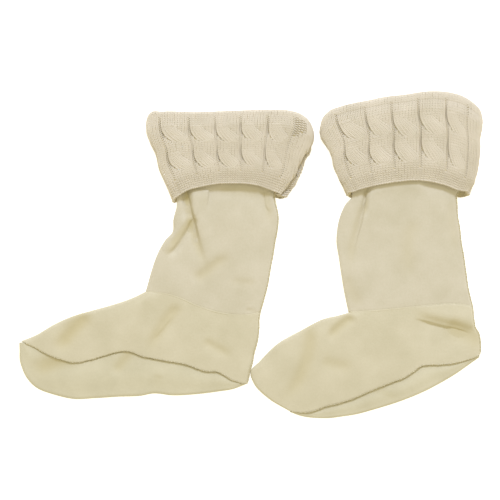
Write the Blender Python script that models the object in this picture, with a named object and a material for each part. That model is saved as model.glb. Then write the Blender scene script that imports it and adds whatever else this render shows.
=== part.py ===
"""A pair of fleece boot liners with turned-down cable-knit cuffs, lying flat on their sides.

Each liner is four cut and sewn pieces: a knitted cuff, a fleece leg, a fleece foot upper, and a fleece
sole that is folded along its length. Every piece is a real wall of cloth, lofted through closed rings.
A ring runs over the upper layer, round the fold at the back edge, along the lower layer and round the
fold at the front edge, and the rings of one piece turn back inside it to make the wall's inner face.

Metres, +Z up from the surface the pair lies on, +Y up the legs, toes towards -X. The tables are in
millimetres, in each liner's own frame, which starts at the heel corner of its sole seam.
"""

import math
from collections import namedtuple

import bmesh
import bpy
import numpy as np
from mathutils import Vector

MM = 0.001

# The cloth
FLEECE = 2.0  # wall of the fleece pieces
KNIT = 2.4  # plain wall of the knit, under the cables
CABLE_RISE = 2.2  # height of a cable's strands over the plain knit
PLY_GAP = 0.45  # between two layers that nest in each other
SEAM_GAP = 0.45  # between the cut edges that a seam joins
LEAST_GAP = 0.6  # inside a flattened tube, at the bottom of a crease
MOST_GAP = 3.7  # inside a flattened tube, where the cloth lifts

# The cuff's turn at the head: the knit rolls over the leg's top edge and down inside the leg
ROLL_REACH = 6.0  # length of the roll, seen from above
TURN_LENGTH = 15.0  # from the head down to the turned-in edge
CUFF_HEIGHT_IN_PLAN = 85.0  # head to hem at the middle
CUFF_EDGE_ROUND = 9.6  # how far the side folds round in from the outline
FLEECE_EDGE_ROUND = 0.53  # the same for the fleece, as a share of its height
CUFF_SIDE_SLACK = 1.2  # the layers nest more loosely round the side folds
CUFF_CROWN = 1.2  # lift of the front layer at the middle
CROWN_RISES_IN = 0.16  # share of the width over which the upper layer lifts from its side folds

# How deep each face of the stacked layers lies under the cuff's outside, at the roll
CUFF_FACE_DEPTH = KNIT
LEG_FACE_DEPTH = KNIT + PLY_GAP
TURN_FACE_DEPTH = LEG_FACE_DEPTH + FLEECE + PLY_GAP
MOUTH_DEPTH = TURN_FACE_DEPTH + KNIT

# The sole: one panel folded along its length
SOLE_GAP = 1.6  # between its two layers
SOLE_PUFF = 1.2  # further lift of its upper layer, where it is SOLE_FULL_WIDTH wide or more
SOLE_FULL_WIDTH = 30.0
SOLE_FOLD_SHARE = 0.6  # most of its width that the fold may take

# The cables
CABLE_PERIOD = 0.36  # from one crossing to the next, as a share of the cuff
CROSSING_SHARE = 0.55  # of a period, taken by the strands as they cross
CROSSING_GROOVE = 0.09  # half width of the groove at a strand's edge, as a share of a period
EDGE_GROOVES = ((0.0, 0.75), (0.5, 0.45))  # where each strand's edge starts across, and its depth
MIDDLE_GROOVE = 0.18  # depth of the groove between the two strands
MIDDLE_GROOVE_WIDTH = 0.10  # half width, as a share of the cable's width
ROPE_POWERS = 2.6, 0.6  # of a superellipse, the rope's section
CABLES_RISE = 0.05, 0.20  # share of the cuff over which they rise out of the plain roll
CABLES_END = 0.85, 0.95  # share of the cuff over which they sink into the plain hem band

# Mesh density
CUFF_ROWS = 18
ROLL_STEPS = 6
GROOVE_STEPS = 4
CABLE_STEPS = 6
CUFF_SIDE_STEPS = 3
CUFF_UNDER_STEPS = 4
FLEECE_STEPS = 16  # across each layer, the same on both sides of a seam
LEG_ROW_SPACING = 26.0
UPPER_ROW_SPACING = 30.0
SOLE_TOP_STEPS = 4
SOLE_UNDER_STEPS = 3
HEAD_POINTS = 25  # along the leg's hidden head

# Reading the plan
SLOPE_STEP = 0.01  # half the step in v that gives an edge's direction
SEAM_STEP = 0.004  # half the step along the seam that gives its direction
LEAST_SINE = 0.45  # of the angle between a row and an edge, so that slanted rows stay in bounds

# The rows of the tables. Front is the instep's side, back the heel's.
CuffRow = namedtuple("CuffRow", "share front_x front_y back_x back_y height front_under back_under")
HiddenRow = namedtuple("HiddenRow", "share front_inset back_inset gap")
LegRow = namedtuple("LegRow", "front_x front_y back_x back_y lift gap swell")
UpperRow = namedtuple("UpperRow", "front_x front_y back_x back_y gap swell")
SoleRow = namedtuple("SoleRow", "along edge_x edge_y")
Rise = namedtuple("Rise", "along up")
Gutter = namedtuple("Gutter", "head hem crossing")
Fold = namedtuple("Fold", "x0 y0 x1 y1 bend width depth")
FoldPoint = namedtuple("FoldPoint", "out rise sunk")
Liner = namedtuple(
    "Liner",
    "name heel_x heel_y cuff head_rise hem_rise back_hem_drop gutters"
    " leg_in_cuff leg ankle_rise leg_folds upper seam_rise upper_folds sole sole_folds",
)

# A side fold in section: out is the share of its reach, rise the share of its half height, and sunk
# the share of the under layer's extra reach that it takes. A creased side shows both layers' edges.
PLAIN_SIDE = [
    FoldPoint(0.42, 0.91, 0.0),
    FoldPoint(0.75, 0.66, 0.0),
    FoldPoint(0.95, 0.31, 0.1),
    FoldPoint(1.00, 0.00, 0.4),
    FoldPoint(0.95, -0.31, 0.8),
    FoldPoint(0.75, -0.66, 1.0),
    FoldPoint(0.42, -0.91, 1.0),
]
CREASED_SIDE = [
    FoldPoint(0.62, 0.93, 0.0),
    FoldPoint(0.96, 0.70, 0.0),
    FoldPoint(0.98, 0.42, 0.0),
    FoldPoint(0.60, 0.14, 0.1),
    FoldPoint(0.90, -0.16, 0.9),
    FoldPoint(1.00, -0.52, 1.0),
    FoldPoint(0.62, -0.90, 1.0),
]
CREASED_INSIDE = [
    FoldPoint(0.61, 0.98, 0.0),
    FoldPoint(0.97, 0.76, 0.0),
    FoldPoint(0.95, 0.48, 0.0),
    FoldPoint(0.62, 0.00, 0.0),
    FoldPoint(0.94, -0.66, 0.9),
    FoldPoint(1.00, -0.83, 1.0),
    FoldPoint(0.74, -0.98, 1.0),
]
FLEECE_SIDE = [FoldPoint(math.cos(a), math.sin(a), 0.0) for a in (math.pi / 4, 0.0, -math.pi / 4)]
CREASE_AT = 5.0  # extra reach of the under layer at which the crease is fully formed
COLLECTION = "boot_liners"

LEFT = Liner(
    name="left",
    heel_x=-5.5,
    heel_y=-147.7,
    cuff=[
        # share, front x, y, back x, y, height, under layer past the front edge, past the back edge
        CuffRow(0.00, -115.1, 303.6, 78.3, 288.2, 16.4, 0.0, 0.0),
        CuffRow(0.15, -113.8, 288.5, 77.0, 276.7, 16.4, 0.0, 0.0),
        CuffRow(0.30, -110.1, 276.0, 70.5, 266.0, 16.2, 0.0, 2.8),
        CuffRow(0.46, -103.0, 261.7, 62.9, 255.7, 15.8, 0.0, 4.8),
        CuffRow(0.63, -99.2, 246.2, 57.8, 244.3, 15.2, 0.0, 6.0),
        CuffRow(0.80, -92.7, 230.9, 51.5, 232.9, 14.7, 0.5, 6.6),
        CuffRow(1.00, -83.6, 211.8, 39.6, 217.5, 14.2, 1.5, 8.6),
    ],
    head_rise=[
        Rise(0.00, 0.0),
        Rise(0.03, 6.5),
        Rise(0.10, 8.9),
        Rise(0.30, 11.4),
        Rise(0.52, 16.4),
        Rise(0.74, 20.6),
        Rise(0.86, 21.3),
        Rise(0.92, 18.3),
        Rise(0.97, 10.5),
        Rise(1.00, 0.0),
    ],
    hem_rise=[
        Rise(0.00, 0.0),
        Rise(0.05, 2.6),
        Rise(0.14, 8.6),
        Rise(0.24, 11.3),
        Rise(0.35, 13.6),
        Rise(0.55, 14.0),
        Rise(0.79, 9.9),
        Rise(0.93, 3.0),
        Rise(1.00, 0.0),
    ],
    back_hem_drop=6.0,
    gutters=[
        # share of the width at the head and at the hem, first crossing of the cable on its back side
        Gutter(0.085, 0.055, 0.28),
        Gutter(0.256, 0.244, 0.29),
        Gutter(0.407, 0.430, 0.31),
        Gutter(0.552, 0.615, 0.30),
        Gutter(0.715, 0.790, 0.29),
        Gutter(0.872, 0.930, 0.28),
    ],
    leg_in_cuff=[
        # share of the cuff, insets from its front and back outlines, gap in the leg
        HiddenRow(0.098, 3.5, 3.6, 6.7),
        HiddenRow(0.190, 3.5, 3.6, 6.7),
        HiddenRow(0.300, 3.6, 5.0, 6.2),
        HiddenRow(0.460, 4.4, 8.4, 4.2),
        HiddenRow(0.700, 4.4, 9.6, 3.0),
    ],
    leg=[
        # front x, y, back x, y, lift off the surface, gap at the sides, further lift at the middle
        LegRow(-79.2, 205.5, 31.6, 212.4, 2.9, 1.6, 1.0),
        LegRow(-83.3, 188.5, 35.8, 191.9, 1.9, 1.6, 1.6),
        LegRow(-84.5, 173.4, 34.8, 175.8, 0.7, 1.6, 1.8),
        LegRow(-92.4, 164.7, 32.6, 164.3, 0.1, 1.6, 1.9),
        LegRow(-101.0, 149.8, 30.4, 150.6, 0.0, 1.6, 1.9),
        LegRow(-108.0, 130.5, 26.7, 130.2, 0.0, 1.6, 1.8),
        LegRow(-111.9, 116.7, 23.5, 111.9, 0.0, 1.6, 1.6),
        LegRow(-115.0, 106.0, 15.2, 81.5, 0.0, 1.6, 1.4),
    ],
    ankle_rise=[
        Rise(0.00, 0.0),
        Rise(0.23, 0.8),
        Rise(0.34, -1.6),
        Rise(0.44, -5.4),
        Rise(0.55, -7.6),
        Rise(0.69, -8.7),
        Rise(0.88, -5.8),
        Rise(1.00, 0.0),
    ],
    leg_folds=[
        # from x, y, to x, y, sideways bend, half width, depth; a negative depth is a ridge
        Fold(-68.7, 222.0, -49.0, 140.0, 3.0, 5.0, 2.6),
        Fold(-58.0, 222.0, -38.0, 148.0, 3.0, 7.0, -1.0),
        Fold(-60.0, 189.0, -90.0, 149.0, 1.5, 5.0, 1.8),
        Fold(-70.0, 190.0, -98.0, 158.0, 1.5, 6.0, -0.7),
        Fold(-55.0, 122.0, -22.0, 146.0, 0.0, 7.0, 1.0),
        Fold(20.0, 224.0, 26.0, 184.0, -1.5, 4.5, 1.3),
        Fold(10.0, 114.0, -18.0, 118.0, 0.0, 5.0, 0.6),
    ],
    upper=[
        # front x, y, back x, y, gap at the sides, further lift at the middle
        UpperRow(-115.0, 106.0, 15.2, 81.5, 1.6, 1.4),
        UpperRow(-129.6, 98.8, 14.0, 74.3, 1.6, 1.6),
        UpperRow(-151.1, 91.2, 13.9, 62.9, 1.7, 1.8),
        UpperRow(-175.2, 84.4, 12.1, 49.1, 1.8, 1.8),
        UpperRow(-198.4, 77.6, 8.6, 36.6, 1.9, 1.8),
        UpperRow(-220.2, 67.9, 6.4, 24.1, 2.0, 1.6),
        UpperRow(-238.9, 56.7, 3.4, 14.0, 2.2, 1.2),
        UpperRow(-257.6, 49.0, 0.7, 0.1, 2.4, 0.8),
    ],
    seam_rise=[
        Rise(0.00, 0.0),
        Rise(0.06, -3.6),
        Rise(0.12, -9.3),
        Rise(0.17, -11.5),
        Rise(0.22, -13.0),
        Rise(0.31, -5.6),
        Rise(0.37, 1.8),
        Rise(0.43, 9.1),
        Rise(0.475, 12.2),
        Rise(0.53, 9.8),
        Rise(0.64, 9.3),
        Rise(0.72, 9.7),
        Rise(0.82, 6.3),
        Rise(0.87, 7.6),
        Rise(0.94, 1.5),
        Rise(1.00, 0.0),
    ],
    upper_folds=[
        Fold(-80.0, 86.0, -108.0, 44.0, 2.0, 6.0, 1.1),
        Fold(-109.0, 104.0, -137.0, 50.0, 2.0, 8.0, -0.9),
        Fold(-190.0, 72.0, -217.0, 44.0, 0.0, 7.0, 1.3),
        Fold(-48.0, 49.0, -18.0, 32.0, 0.0, 6.0, 0.7),
    ],
    sole=[
        # along the seam, then the outline's x, y
        SoleRow(0.009, -259.4, 47.2),
        SoleRow(0.030, -259.0, 39.1),
        SoleRow(0.060, -259.1, 31.1),
        SoleRow(0.110, -256.9, 20.1),
        SoleRow(0.160, -250.3, 6.2),
        SoleRow(0.210, -238.2, -5.2),
        SoleRow(0.260, -219.2, -12.3),
        SoleRow(0.310, -197.7, -17.1),
        SoleRow(0.370, -172.4, -16.2),
        SoleRow(0.450, -146.3, -14.6),
        SoleRow(0.530, -121.1, -13.6),
        SoleRow(0.590, -106.0, -10.9),
        SoleRow(0.670, -84.7, -13.0),
        SoleRow(0.770, -58.4, -11.8),
        SoleRow(0.870, -32.1, -8.6),
        SoleRow(0.940, -14.8, -5.7),
        SoleRow(0.985, -4.2, -1.8),
    ],
    sole_folds=[
        Fold(-217.0, 37.0, -239.0, 9.0, 0.0, 6.0, 0.9),
        Fold(-134.0, 38.0, -146.0, 8.0, 0.0, 6.0, 0.7),
        Fold(-100.0, 10.0, -104.0, -9.0, 0.0, 5.0, 0.6),
    ],
)

RIGHT = Liner(
    name="right",
    heel_x=260.9,
    heel_y=-115.4,
    cuff=[
        CuffRow(0.00, -184.3, 258.8, 4.2, 271.3, 16.4, 0.0, 0.0),
        CuffRow(0.13, -181.7, 248.9, 2.7, 259.9, 16.4, 0.0, 0.0),
        CuffRow(0.27, -175.3, 239.3, 0.0, 248.5, 16.2, 0.3, 0.0),
        CuffRow(0.42, -169.6, 228.8, 0.1, 236.0, 15.8, 0.6, 0.2),
        CuffRow(0.59, -167.0, 216.3, -1.6, 221.3, 15.2, 0.8, 0.5),
        CuffRow(0.78, -160.5, 203.7, -5.0, 204.7, 14.7, 1.2, 1.2),
        CuffRow(1.00, -151.2, 188.1, -13.2, 188.7, 14.2, 2.0, 2.4),
    ],
    head_rise=[
        Rise(0.000, 0.0),
        Rise(0.020, 10.4),
        Rise(0.057, 18.6),
        Rise(0.123, 23.5),
        Rise(0.216, 26.9),
        Rise(0.300, 28.9),
        Rise(0.393, 31.4),
        Rise(0.524, 32.6),
        Rise(0.660, 34.6),
        Rise(0.802, 31.2),
        Rise(0.886, 25.0),
        Rise(0.948, 15.8),
        Rise(0.985, 7.4),
        Rise(1.000, 0.0),
    ],
    hem_rise=[
        Rise(0.00, 0.0),
        Rise(0.04, -0.9),
        Rise(0.12, 2.2),
        Rise(0.20, 5.0),
        Rise(0.30, 7.8),
        Rise(0.41, 10.0),
        Rise(0.55, 11.7),
        Rise(0.69, 9.9),
        Rise(0.82, 5.2),
        Rise(0.93, -0.4),
        Rise(1.00, 0.0),
    ],
    back_hem_drop=7.0,
    gutters=[
        Gutter(0.100, 0.060, 0.22),
        Gutter(0.281, 0.210, 0.27),
        Gutter(0.440, 0.388, 0.30),
        Gutter(0.600, 0.592, 0.33),
        Gutter(0.770, 0.790, 0.31),
        Gutter(0.900, 0.930, 0.29),
    ],
    leg_in_cuff=[
        HiddenRow(0.098, 3.5, 3.6, 6.7),
        HiddenRow(0.190, 3.5, 3.6, 6.7),
        HiddenRow(0.300, 3.5, 3.5, 5.6),
        HiddenRow(0.460, 3.5, 3.7, 4.2),
        HiddenRow(0.700, 3.6, 4.6, 3.0),
    ],
    leg=[
        LegRow(-148.8, 192.0, -20.0, 194.0, 2.8, 2.2, 0.5),
        LegRow(-145.8, 181.8, -27.0, 182.4, 3.3, 1.6, 1.0),
        LegRow(-153.8, 172.2, -26.4, 171.0, 2.4, 1.6, 1.5),
        LegRow(-159.2, 160.4, -25.9, 160.7, 1.6, 1.6, 1.8),
        LegRow(-162.8, 144.2, -23.0, 143.6, 0.5, 1.6, 1.9),
        LegRow(-163.6, 131.0, -21.7, 131.0, 0.1, 1.6, 1.9),
        LegRow(-161.0, 112.7, -18.6, 112.8, 0.0, 1.6, 1.9),
        LegRow(-158.3, 94.3, -16.1, 94.5, 0.0, 1.6, 1.8),
        LegRow(-154.8, 73.3, -13.0, 74.0, 0.0, 1.6, 1.6),
        LegRow(-149.8, 49.5, -8.4, 56.0, 0.0, 1.6, 1.4),
    ],
    ankle_rise=[
        Rise(0.00, 0.0),
        Rise(0.14, 0.2),
        Rise(0.40, 1.6),
        Rise(0.67, 3.8),
        Rise(0.80, 4.6),
        Rise(0.91, 3.2),
        Rise(1.00, 0.0),
    ],
    leg_folds=[
        Fold(-129.5, 193.0, -132.0, 160.0, 0.0, 4.5, 2.2),
        Fold(-130.5, 174.0, -148.0, 104.0, 3.0, 5.0, 1.5),
        Fold(-121.0, 188.0, -133.0, 120.0, 2.0, 7.0, -0.8),
        Fold(-155.0, 88.0, -137.0, 56.0, 0.0, 7.0, 1.0),
        Fold(-33.0, 172.0, -28.0, 120.0, 0.0, 5.0, 0.7),
        Fold(-76.0, 152.0, -82.0, 92.0, 3.0, 9.0, 0.6),
    ],
    upper=[
        UpperRow(-149.8, 49.5, -8.4, 56.0, 1.6, 1.4),
        UpperRow(-161.7, 46.3, -7.4, 44.6, 1.6, 1.6),
        UpperRow(-179.6, 41.8, -5.7, 33.2, 1.7, 1.8),
        UpperRow(-204.5, 28.9, -1.7, 26.5, 1.8, 1.8),
        UpperRow(-231.0, 13.7, 0.0, 19.9, 1.9, 1.8),
        UpperRow(-252.0, -6.9, 0.5, 14.8, 2.0, 1.7),
        UpperRow(-261.5, -17.5, 0.7, 10.8, 2.1, 1.6),
        UpperRow(-257.4, -32.5, 0.6, 7.4, 2.2, 1.4),
        UpperRow(-240.6, -49.3, 0.5, 4.6, 2.3, 1.1),
        UpperRow(-218.4, -62.6, 0.7, 1.7, 2.4, 0.8),
    ],
    seam_rise=[
        Rise(0.00, 0.0),
        Rise(0.05, -4.9),
        Rise(0.11, -8.4),
        Rise(0.20, -7.5),
        Rise(0.28, -8.2),
        Rise(0.35, -7.4),
        Rise(0.42, -4.9),
        Rise(0.55, -1.9),
        Rise(0.61, -0.6),
        Rise(0.65, 2.8),
        Rise(0.69, 6.4),
        Rise(0.74, 4.9),
        Rise(0.83, 0.0),
        Rise(0.90, -1.5),
        Rise(0.96, -1.4),
        Rise(1.00, 0.0),
    ],
    upper_folds=[
        Fold(-76.0, 46.0, -20.0, 26.0, 2.0, 6.0, 2.0),
        Fold(-70.0, 56.0, -14.0, 40.0, 2.0, 6.0, -0.6),
        Fold(-145.0, 44.0, -172.0, 20.0, 2.0, 6.0, 1.3),
        Fold(-193.0, 30.0, -219.0, -46.0, -7.0, 7.0, 1.4),
        Fold(-180.0, -8.0, -146.0, -14.0, 0.0, 8.0, 0.7),
    ],
    sole=[
        SoleRow(0.020, -213.3, -65.5),
        SoleRow(0.050, -206.2, -68.2),
        SoleRow(0.100, -193.9, -70.6),
        SoleRow(0.170, -172.9, -71.3),
        SoleRow(0.240, -156.0, -69.3),
        SoleRow(0.310, -140.7, -66.9),
        SoleRow(0.390, -121.7, -61.8),
        SoleRow(0.500, -93.3, -53.0),
        SoleRow(0.630, -64.8, -41.6),
        SoleRow(0.740, -46.0, -31.9),
        SoleRow(0.840, -27.1, -20.7),
        SoleRow(0.920, -12.6, -10.5),
        SoleRow(0.985, -2.3, -3.2),
    ],
    sole_folds=[
        Fold(-120.0, -38.0, -96.0, -52.0, 0.0, 6.0, 0.6),
    ],
)


def column(rows, name):
    return np.array([getattr(row, name) for row in rows], float)


def through(places, values, at):
    """A smooth curve through a table's values, read at any places."""
    slopes = np.gradient(values, places)
    at = np.asarray(at, float)
    i = np.clip(np.searchsorted(places, at, side="right") - 1, 0, len(places) - 2)
    span = places[i + 1] - places[i]
    t = (at - places[i]) / span
    return (
        (2 * t**3 - 3 * t**2 + 1) * values[i]
        + (t**3 - 2 * t**2 + t) * span * slopes[i]
        + (3 * t**2 - 2 * t**3) * values[i + 1]
        + (t**3 - t**2) * span * slopes[i + 1]
    )


def ease(low, high, value):
    """0 below low, 1 above high, and smooth between them."""
    t = np.clip((np.asarray(value, float) - low) / (high - low), 0, 1)
    return t * t * (3 - 2 * t)


class Plan:
    """Where a flat piece lies, seen from above. u is 0 at its front edge and 1 at its back edge, and v
    is 0 at its head and 1 at its hem. The edges follow the rows; head and hem rise from their chords."""

    def __init__(self, shares, rows, head_rise, hem_rise):
        self.shares = shares
        self.front = column(rows, "front_x"), column(rows, "front_y")
        self.back = column(rows, "back_x"), column(rows, "back_y")
        self.head_rise = head_rise
        self.hem_rise = hem_rise
        self.head_fade = 1
        self.head_trim = 0.0
        self.hem_trim = 0.0

    def edges(self, v):
        front = np.array([through(self.shares, c, v) for c in self.front])
        back = np.array([through(self.shares, c, v) for c in self.back])
        return front, back

    def at(self, u, v):
        front, back = self.edges(v)
        on = np.clip(u, 0, 1)
        head = through(column(self.head_rise, "along"), column(self.head_rise, "up"), on)
        hem = through(column(self.hem_rise, "along"), column(self.hem_rise, "up"), on)
        x, y = front + (back - front) * u
        y = y + (1 - v) ** self.head_fade * head + v * hem
        return x, y - self.head_trim * (1 - v) ** 4 + self.hem_trim * v**4

    def share_per_mm(self, v):
        """How much u one millimetre in from the front outline is, and from the back one, on row v."""
        front, back = self.edges(v)
        run = (back - front) / np.hypot(*(back - front))
        before = self.edges(max(v - SLOPE_STEP, 0))
        after = self.edges(min(v + SLOPE_STEP, 1))
        found = []
        for a, b in zip(before, after, strict=True):
            along = (b - a) / np.hypot(*(b - a))
            sine = abs(along[0] * run[1] - along[1] * run[0])
            found.append(1 / max(sine, LEAST_SINE) / np.hypot(*(back - front)))
        return found


class FlatTube:
    """A tube of cloth pressed flat. Its faces are numbered by depth: 0 is the cloth's outside."""

    def __init__(self, plan, shares, low, height, edge_round, folds=()):
        self.plan = plan
        self.shares = shares
        self.low = low
        self.height = height
        self.edge_round = edge_round
        self.folds = folds
        self.swell = np.zeros(len(shares))
        self.crown_fades_by = None
        self.side_slack = 1.0
        self.front_under = self.back_under = np.zeros(len(shares))
        self.back_drop = 0.0

    def crown(self, u, v, depth):
        """Lift of the upper layer over its height at the side folds."""
        x, y = self.plan.at(u, v)
        mask = ease(0, CROWN_RISES_IN, u) * ease(0, CROWN_RISES_IN, 1 - u)
        lift = mask * (through(self.shares, self.swell, v) + fold_height(x, y, self.folds))
        if self.crown_fades_by:
            return lift * np.clip(1 - depth / self.crown_fades_by, 0, 1)
        edge_gap = through(self.shares, self.height, v) - 2 * FLEECE
        limits = LEAST_GAP, max(MOST_GAP, edge_gap)
        return soft_limit(edge_gap + lift, *limits) - soft_limit(edge_gap, *limits)

    def ring(self, v, depth, upper_shares, under_steps, side, relief=None):
        """The closed loop of points on row v, at one depth in the cloth."""
        low = max(0.0, float(through(self.shares, self.low, v)))
        half = through(self.shares, self.height, v) / 2
        reach = through(self.shares, self.edge_round, v)
        front_mm, back_mm = self.plan.share_per_mm(v)
        front_under = through(self.shares, self.front_under, v)
        back_under = through(self.shares, self.back_under, v)
        points = []

        def add(u, z, under):
            x, y = self.plan.at(u, v)
            points.append((x, y - self.back_drop * v**3 * under, z))

        spans = reach * front_mm, 1 - reach * back_mm
        for k, share in enumerate(upper_shares):
            u = spans[0] + (spans[1] - spans[0]) * share
            raised = relief[k] if relief is not None else 0.0
            add(u, low + 2 * half - depth + raised + float(self.crown(u, v, depth)), 0.0)
        for point in side(back_under, depth):
            inset = reach - (reach - depth * self.side_slack) * point.out - back_under * point.sunk
            add(1 - inset * back_mm, low + half + (half - depth) * point.rise, (1 - point.rise) / 2)
        far = 1 - (reach - back_under) * back_mm
        near = (reach - front_under) * front_mm
        for share in np.linspace(0, 1, under_steps + 1):
            add(far + (near - far) * share, low + depth, 1.0)
        for point in reversed(side(front_under, depth)):
            inset = reach - (reach - depth * self.side_slack) * point.out - front_under * point.sunk
            add(inset * front_mm, low + half + (half - depth) * point.rise, (1 - point.rise) / 2)
        return points


def soft_limit(value, least, most):
    """The value, eased into its limits instead of cut off at them."""
    middle, reach = (least + most) / 2, (most - least) / 2
    return middle + reach * np.tanh((np.asarray(value, float) - middle) / reach)


def fold_height(x, y, folds):
    """Height that the troughs and ridges add to a layer at x, y."""
    height = np.zeros(np.shape(x))
    for fold in folds:
        run = np.array([fold.x1 - fold.x0, fold.y1 - fold.y0])
        length = np.hypot(*run)
        along = ((x - fold.x0) * run[0] + (y - fold.y0) * run[1]) / length**2
        across = ((x - fold.x0) * run[1] - (y - fold.y0) * run[0]) / length
        across = across - fold.bend * 4 * along * (1 - along)
        taper = ease(-0.12, 0.18, along) * ease(-0.15, 0.30, 1 - along)
        height = height - fold.depth * np.exp(-((across / fold.width) ** 2)) * taper
    return height


def cable_height(across, periods):
    """Height of a rope cable, 0 to 1. At each crossing the left strand passes over to the right, and
    the strands' edges are two grooves that sweep down from left to right."""
    body = max(0.0, 1 - abs(2 * across - 1) ** ROPE_POWERS[0]) ** ROPE_POWERS[1]
    phase = (periods + 0.5) % 1.0 - 0.5
    groove = MIDDLE_GROOVE * math.exp(-(((across - 0.5) / MIDDLE_GROOVE_WIDTH) ** 2))
    for start, depth in EDGE_GROOVES:
        t = (across - start) / 0.5
        line = CROSSING_SHARE * (ease(-0.1, 1.1, t) - 0.5)
        near = math.exp(-(((phase - line) / CROSSING_GROOVE) ** 2))
        inside = ease(-0.25, 0.05, t) * ease(-0.25, 0.05, 1 - t)
        groove = max(groove, depth * near * inside)
    return body * (1 - groove)


def gutter_shares(gutters, v):
    """The upper layer's columns on row v: share, place across its cable, first crossing of its cable."""
    lines = [gutter.head + (gutter.hem - gutter.head) * v for gutter in gutters]
    columns = []
    for k in range(CUFF_SIDE_STEPS):
        t = k / CUFF_SIDE_STEPS
        columns.append((lines[0] * t, 0.5 + 0.5 * t, gutters[0].crossing))
    for left, right, gutter in zip(lines, lines[1:], gutters):
        for k in range(CABLE_STEPS):
            t = k / CABLE_STEPS
            columns.append((left + (right - left) * t, t, gutter.crossing))
    for k in range(CUFF_SIDE_STEPS + 1):
        t = k / CUFF_SIDE_STEPS
        columns.append((lines[-1] + (1 - lines[-1]) * t, 0.5 * t, gutters[-1].crossing))
    return columns


def between(a, b, t):
    """The section that is t of the way from section a to section b."""
    mixed = np.array(a) + (np.array(b) - np.array(a)) * t
    return [FoldPoint(*point) for point in mixed]


def cuff_side(under_reach, depth):
    """The side fold's section: plain, or creased where the under layer shows past the upper one."""
    creased = between(CREASED_SIDE, CREASED_INSIDE, min(depth / KNIT, 1.0))
    return between(PLAIN_SIDE, creased, float(ease(0, CREASE_AT, under_reach)))


def cuff_plan(liner):
    return Plan(column(liner.cuff, "share"), liner.cuff, liner.head_rise, liner.hem_rise)


def cuff_tube(liner):
    rows = liner.cuff
    plan = cuff_plan(liner)
    edge_round = np.full(len(rows), CUFF_EDGE_ROUND)
    tube = FlatTube(plan, plan.shares, np.zeros(len(rows)), column(rows, "height"), edge_round)
    tube.swell = np.full(len(rows), CUFF_CROWN)
    tube.crown_fades_by = TURN_FACE_DEPTH
    tube.side_slack = CUFF_SIDE_SLACK
    tube.front_under = column(rows, "front_under")
    tube.back_under = column(rows, "back_under")
    tube.back_drop = liner.back_hem_drop
    return tube


def cuff_rings(liner):
    """From the hem up the outside, over the roll, down to the turned-in edge, and back inside."""
    tube = cuff_tube(liner)
    roll = ROLL_REACH / CUFF_HEIGHT_IN_PLAN
    turned_in = TURN_LENGTH / CUFF_HEIGHT_IN_PLAN
    wall = KNIT / CUFF_HEIGHT_IN_PLAN
    rings = []

    def add(v, depth, cables=False):
        columns = gutter_shares(liner.gutters, v)
        relief = None
        if cables:
            height = CABLE_RISE * float(ease(*CABLES_RISE, v) * (1 - ease(*CABLES_END, v)))
            relief = [
                height * cable_height(across, (v - crossing) / CABLE_PERIOD)
                for _, across, crossing in columns
            ]
        shares = [share for share, _, _ in columns]
        rings.append(tube.ring(v, depth, shares, CUFF_UNDER_STEPS, cuff_side, relief))

    for v in np.linspace(1, roll, CUFF_ROWS + 1):
        add(v, 0.0, cables=True)
    for k in range(1, ROLL_STEPS + 1):
        turn = math.pi * k / ROLL_STEPS
        add(roll * (1 - math.sin(turn)), MOUTH_DEPTH / 2 * (1 - math.cos(turn)))
    add(turned_in, MOUTH_DEPTH)
    add(turned_in, TURN_FACE_DEPTH)
    groove_middle = (TURN_FACE_DEPTH + CUFF_FACE_DEPTH) / 2
    groove_half = (TURN_FACE_DEPTH - CUFF_FACE_DEPTH) / 2
    for k in range(GROOVE_STEPS + 1):
        turn = math.pi * k / GROOVE_STEPS
        add(roll - (roll - wall) * math.sin(turn), groove_middle + groove_half * math.cos(turn))
    for hidden in liner.leg_in_cuff[1:]:
        add(hidden.share, CUFF_FACE_DEPTH)
    add(1.0, CUFF_FACE_DEPTH)
    return rings


def leg_rows(liner):
    """The leg's rows, with those hidden in the cuff worked out from the cuff's own rows."""
    plan = cuff_plan(liner)
    rows = []
    for hidden in liner.leg_in_cuff:
        front_mm, back_mm = plan.share_per_mm(hidden.share)
        front = plan.at(hidden.front_inset * front_mm, hidden.share)
        back = plan.at(1 - hidden.back_inset * back_mm, hidden.share)
        rows.append(LegRow(*front, *back, LEG_FACE_DEPTH, hidden.gap, 0.0))
    return rows + liner.leg


def leg_head_rise(liner):
    """The leg's head follows the cuff's rows, so its rise is measured from the cuff."""
    plan = cuff_plan(liner)
    head = liner.leg_in_cuff[0]
    front_mm, back_mm = plan.share_per_mm(head.share)
    near, far = head.front_inset * front_mm, 1 - head.back_inset * back_mm
    (x0, y0), (x1, y1) = plan.at(near, head.share), plan.at(far, head.share)
    rises = []
    for share in np.linspace(0, 1, HEAD_POINTS):
        x, y = plan.at(near + (far - near) * share, head.share)
        along = (x - x0) / (x1 - x0)
        rises.append(Rise(float(along), float(y - (y0 + (y1 - y0) * along))))
    return rises


def row_shares(rows):
    """Each row's share of the way from the first to the last, by how far the edges move."""
    front = np.hypot(np.diff(column(rows, "front_x")), np.diff(column(rows, "front_y")))
    back = np.hypot(np.diff(column(rows, "back_x")), np.diff(column(rows, "back_y")))
    travel = np.concatenate([[0], np.cumsum(front + back)])
    return travel / travel[-1]


def fleece_tube(rows, head_rise, hem_rise, low, folds):
    shares = row_shares(rows)
    plan = Plan(shares, rows, head_rise, hem_rise)
    height = column(rows, "gap") + 2 * FLEECE
    tube = FlatTube(plan, shares, low, height, height * FLEECE_EDGE_ROUND, folds)
    tube.swell = column(rows, "swell")
    return tube


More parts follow.
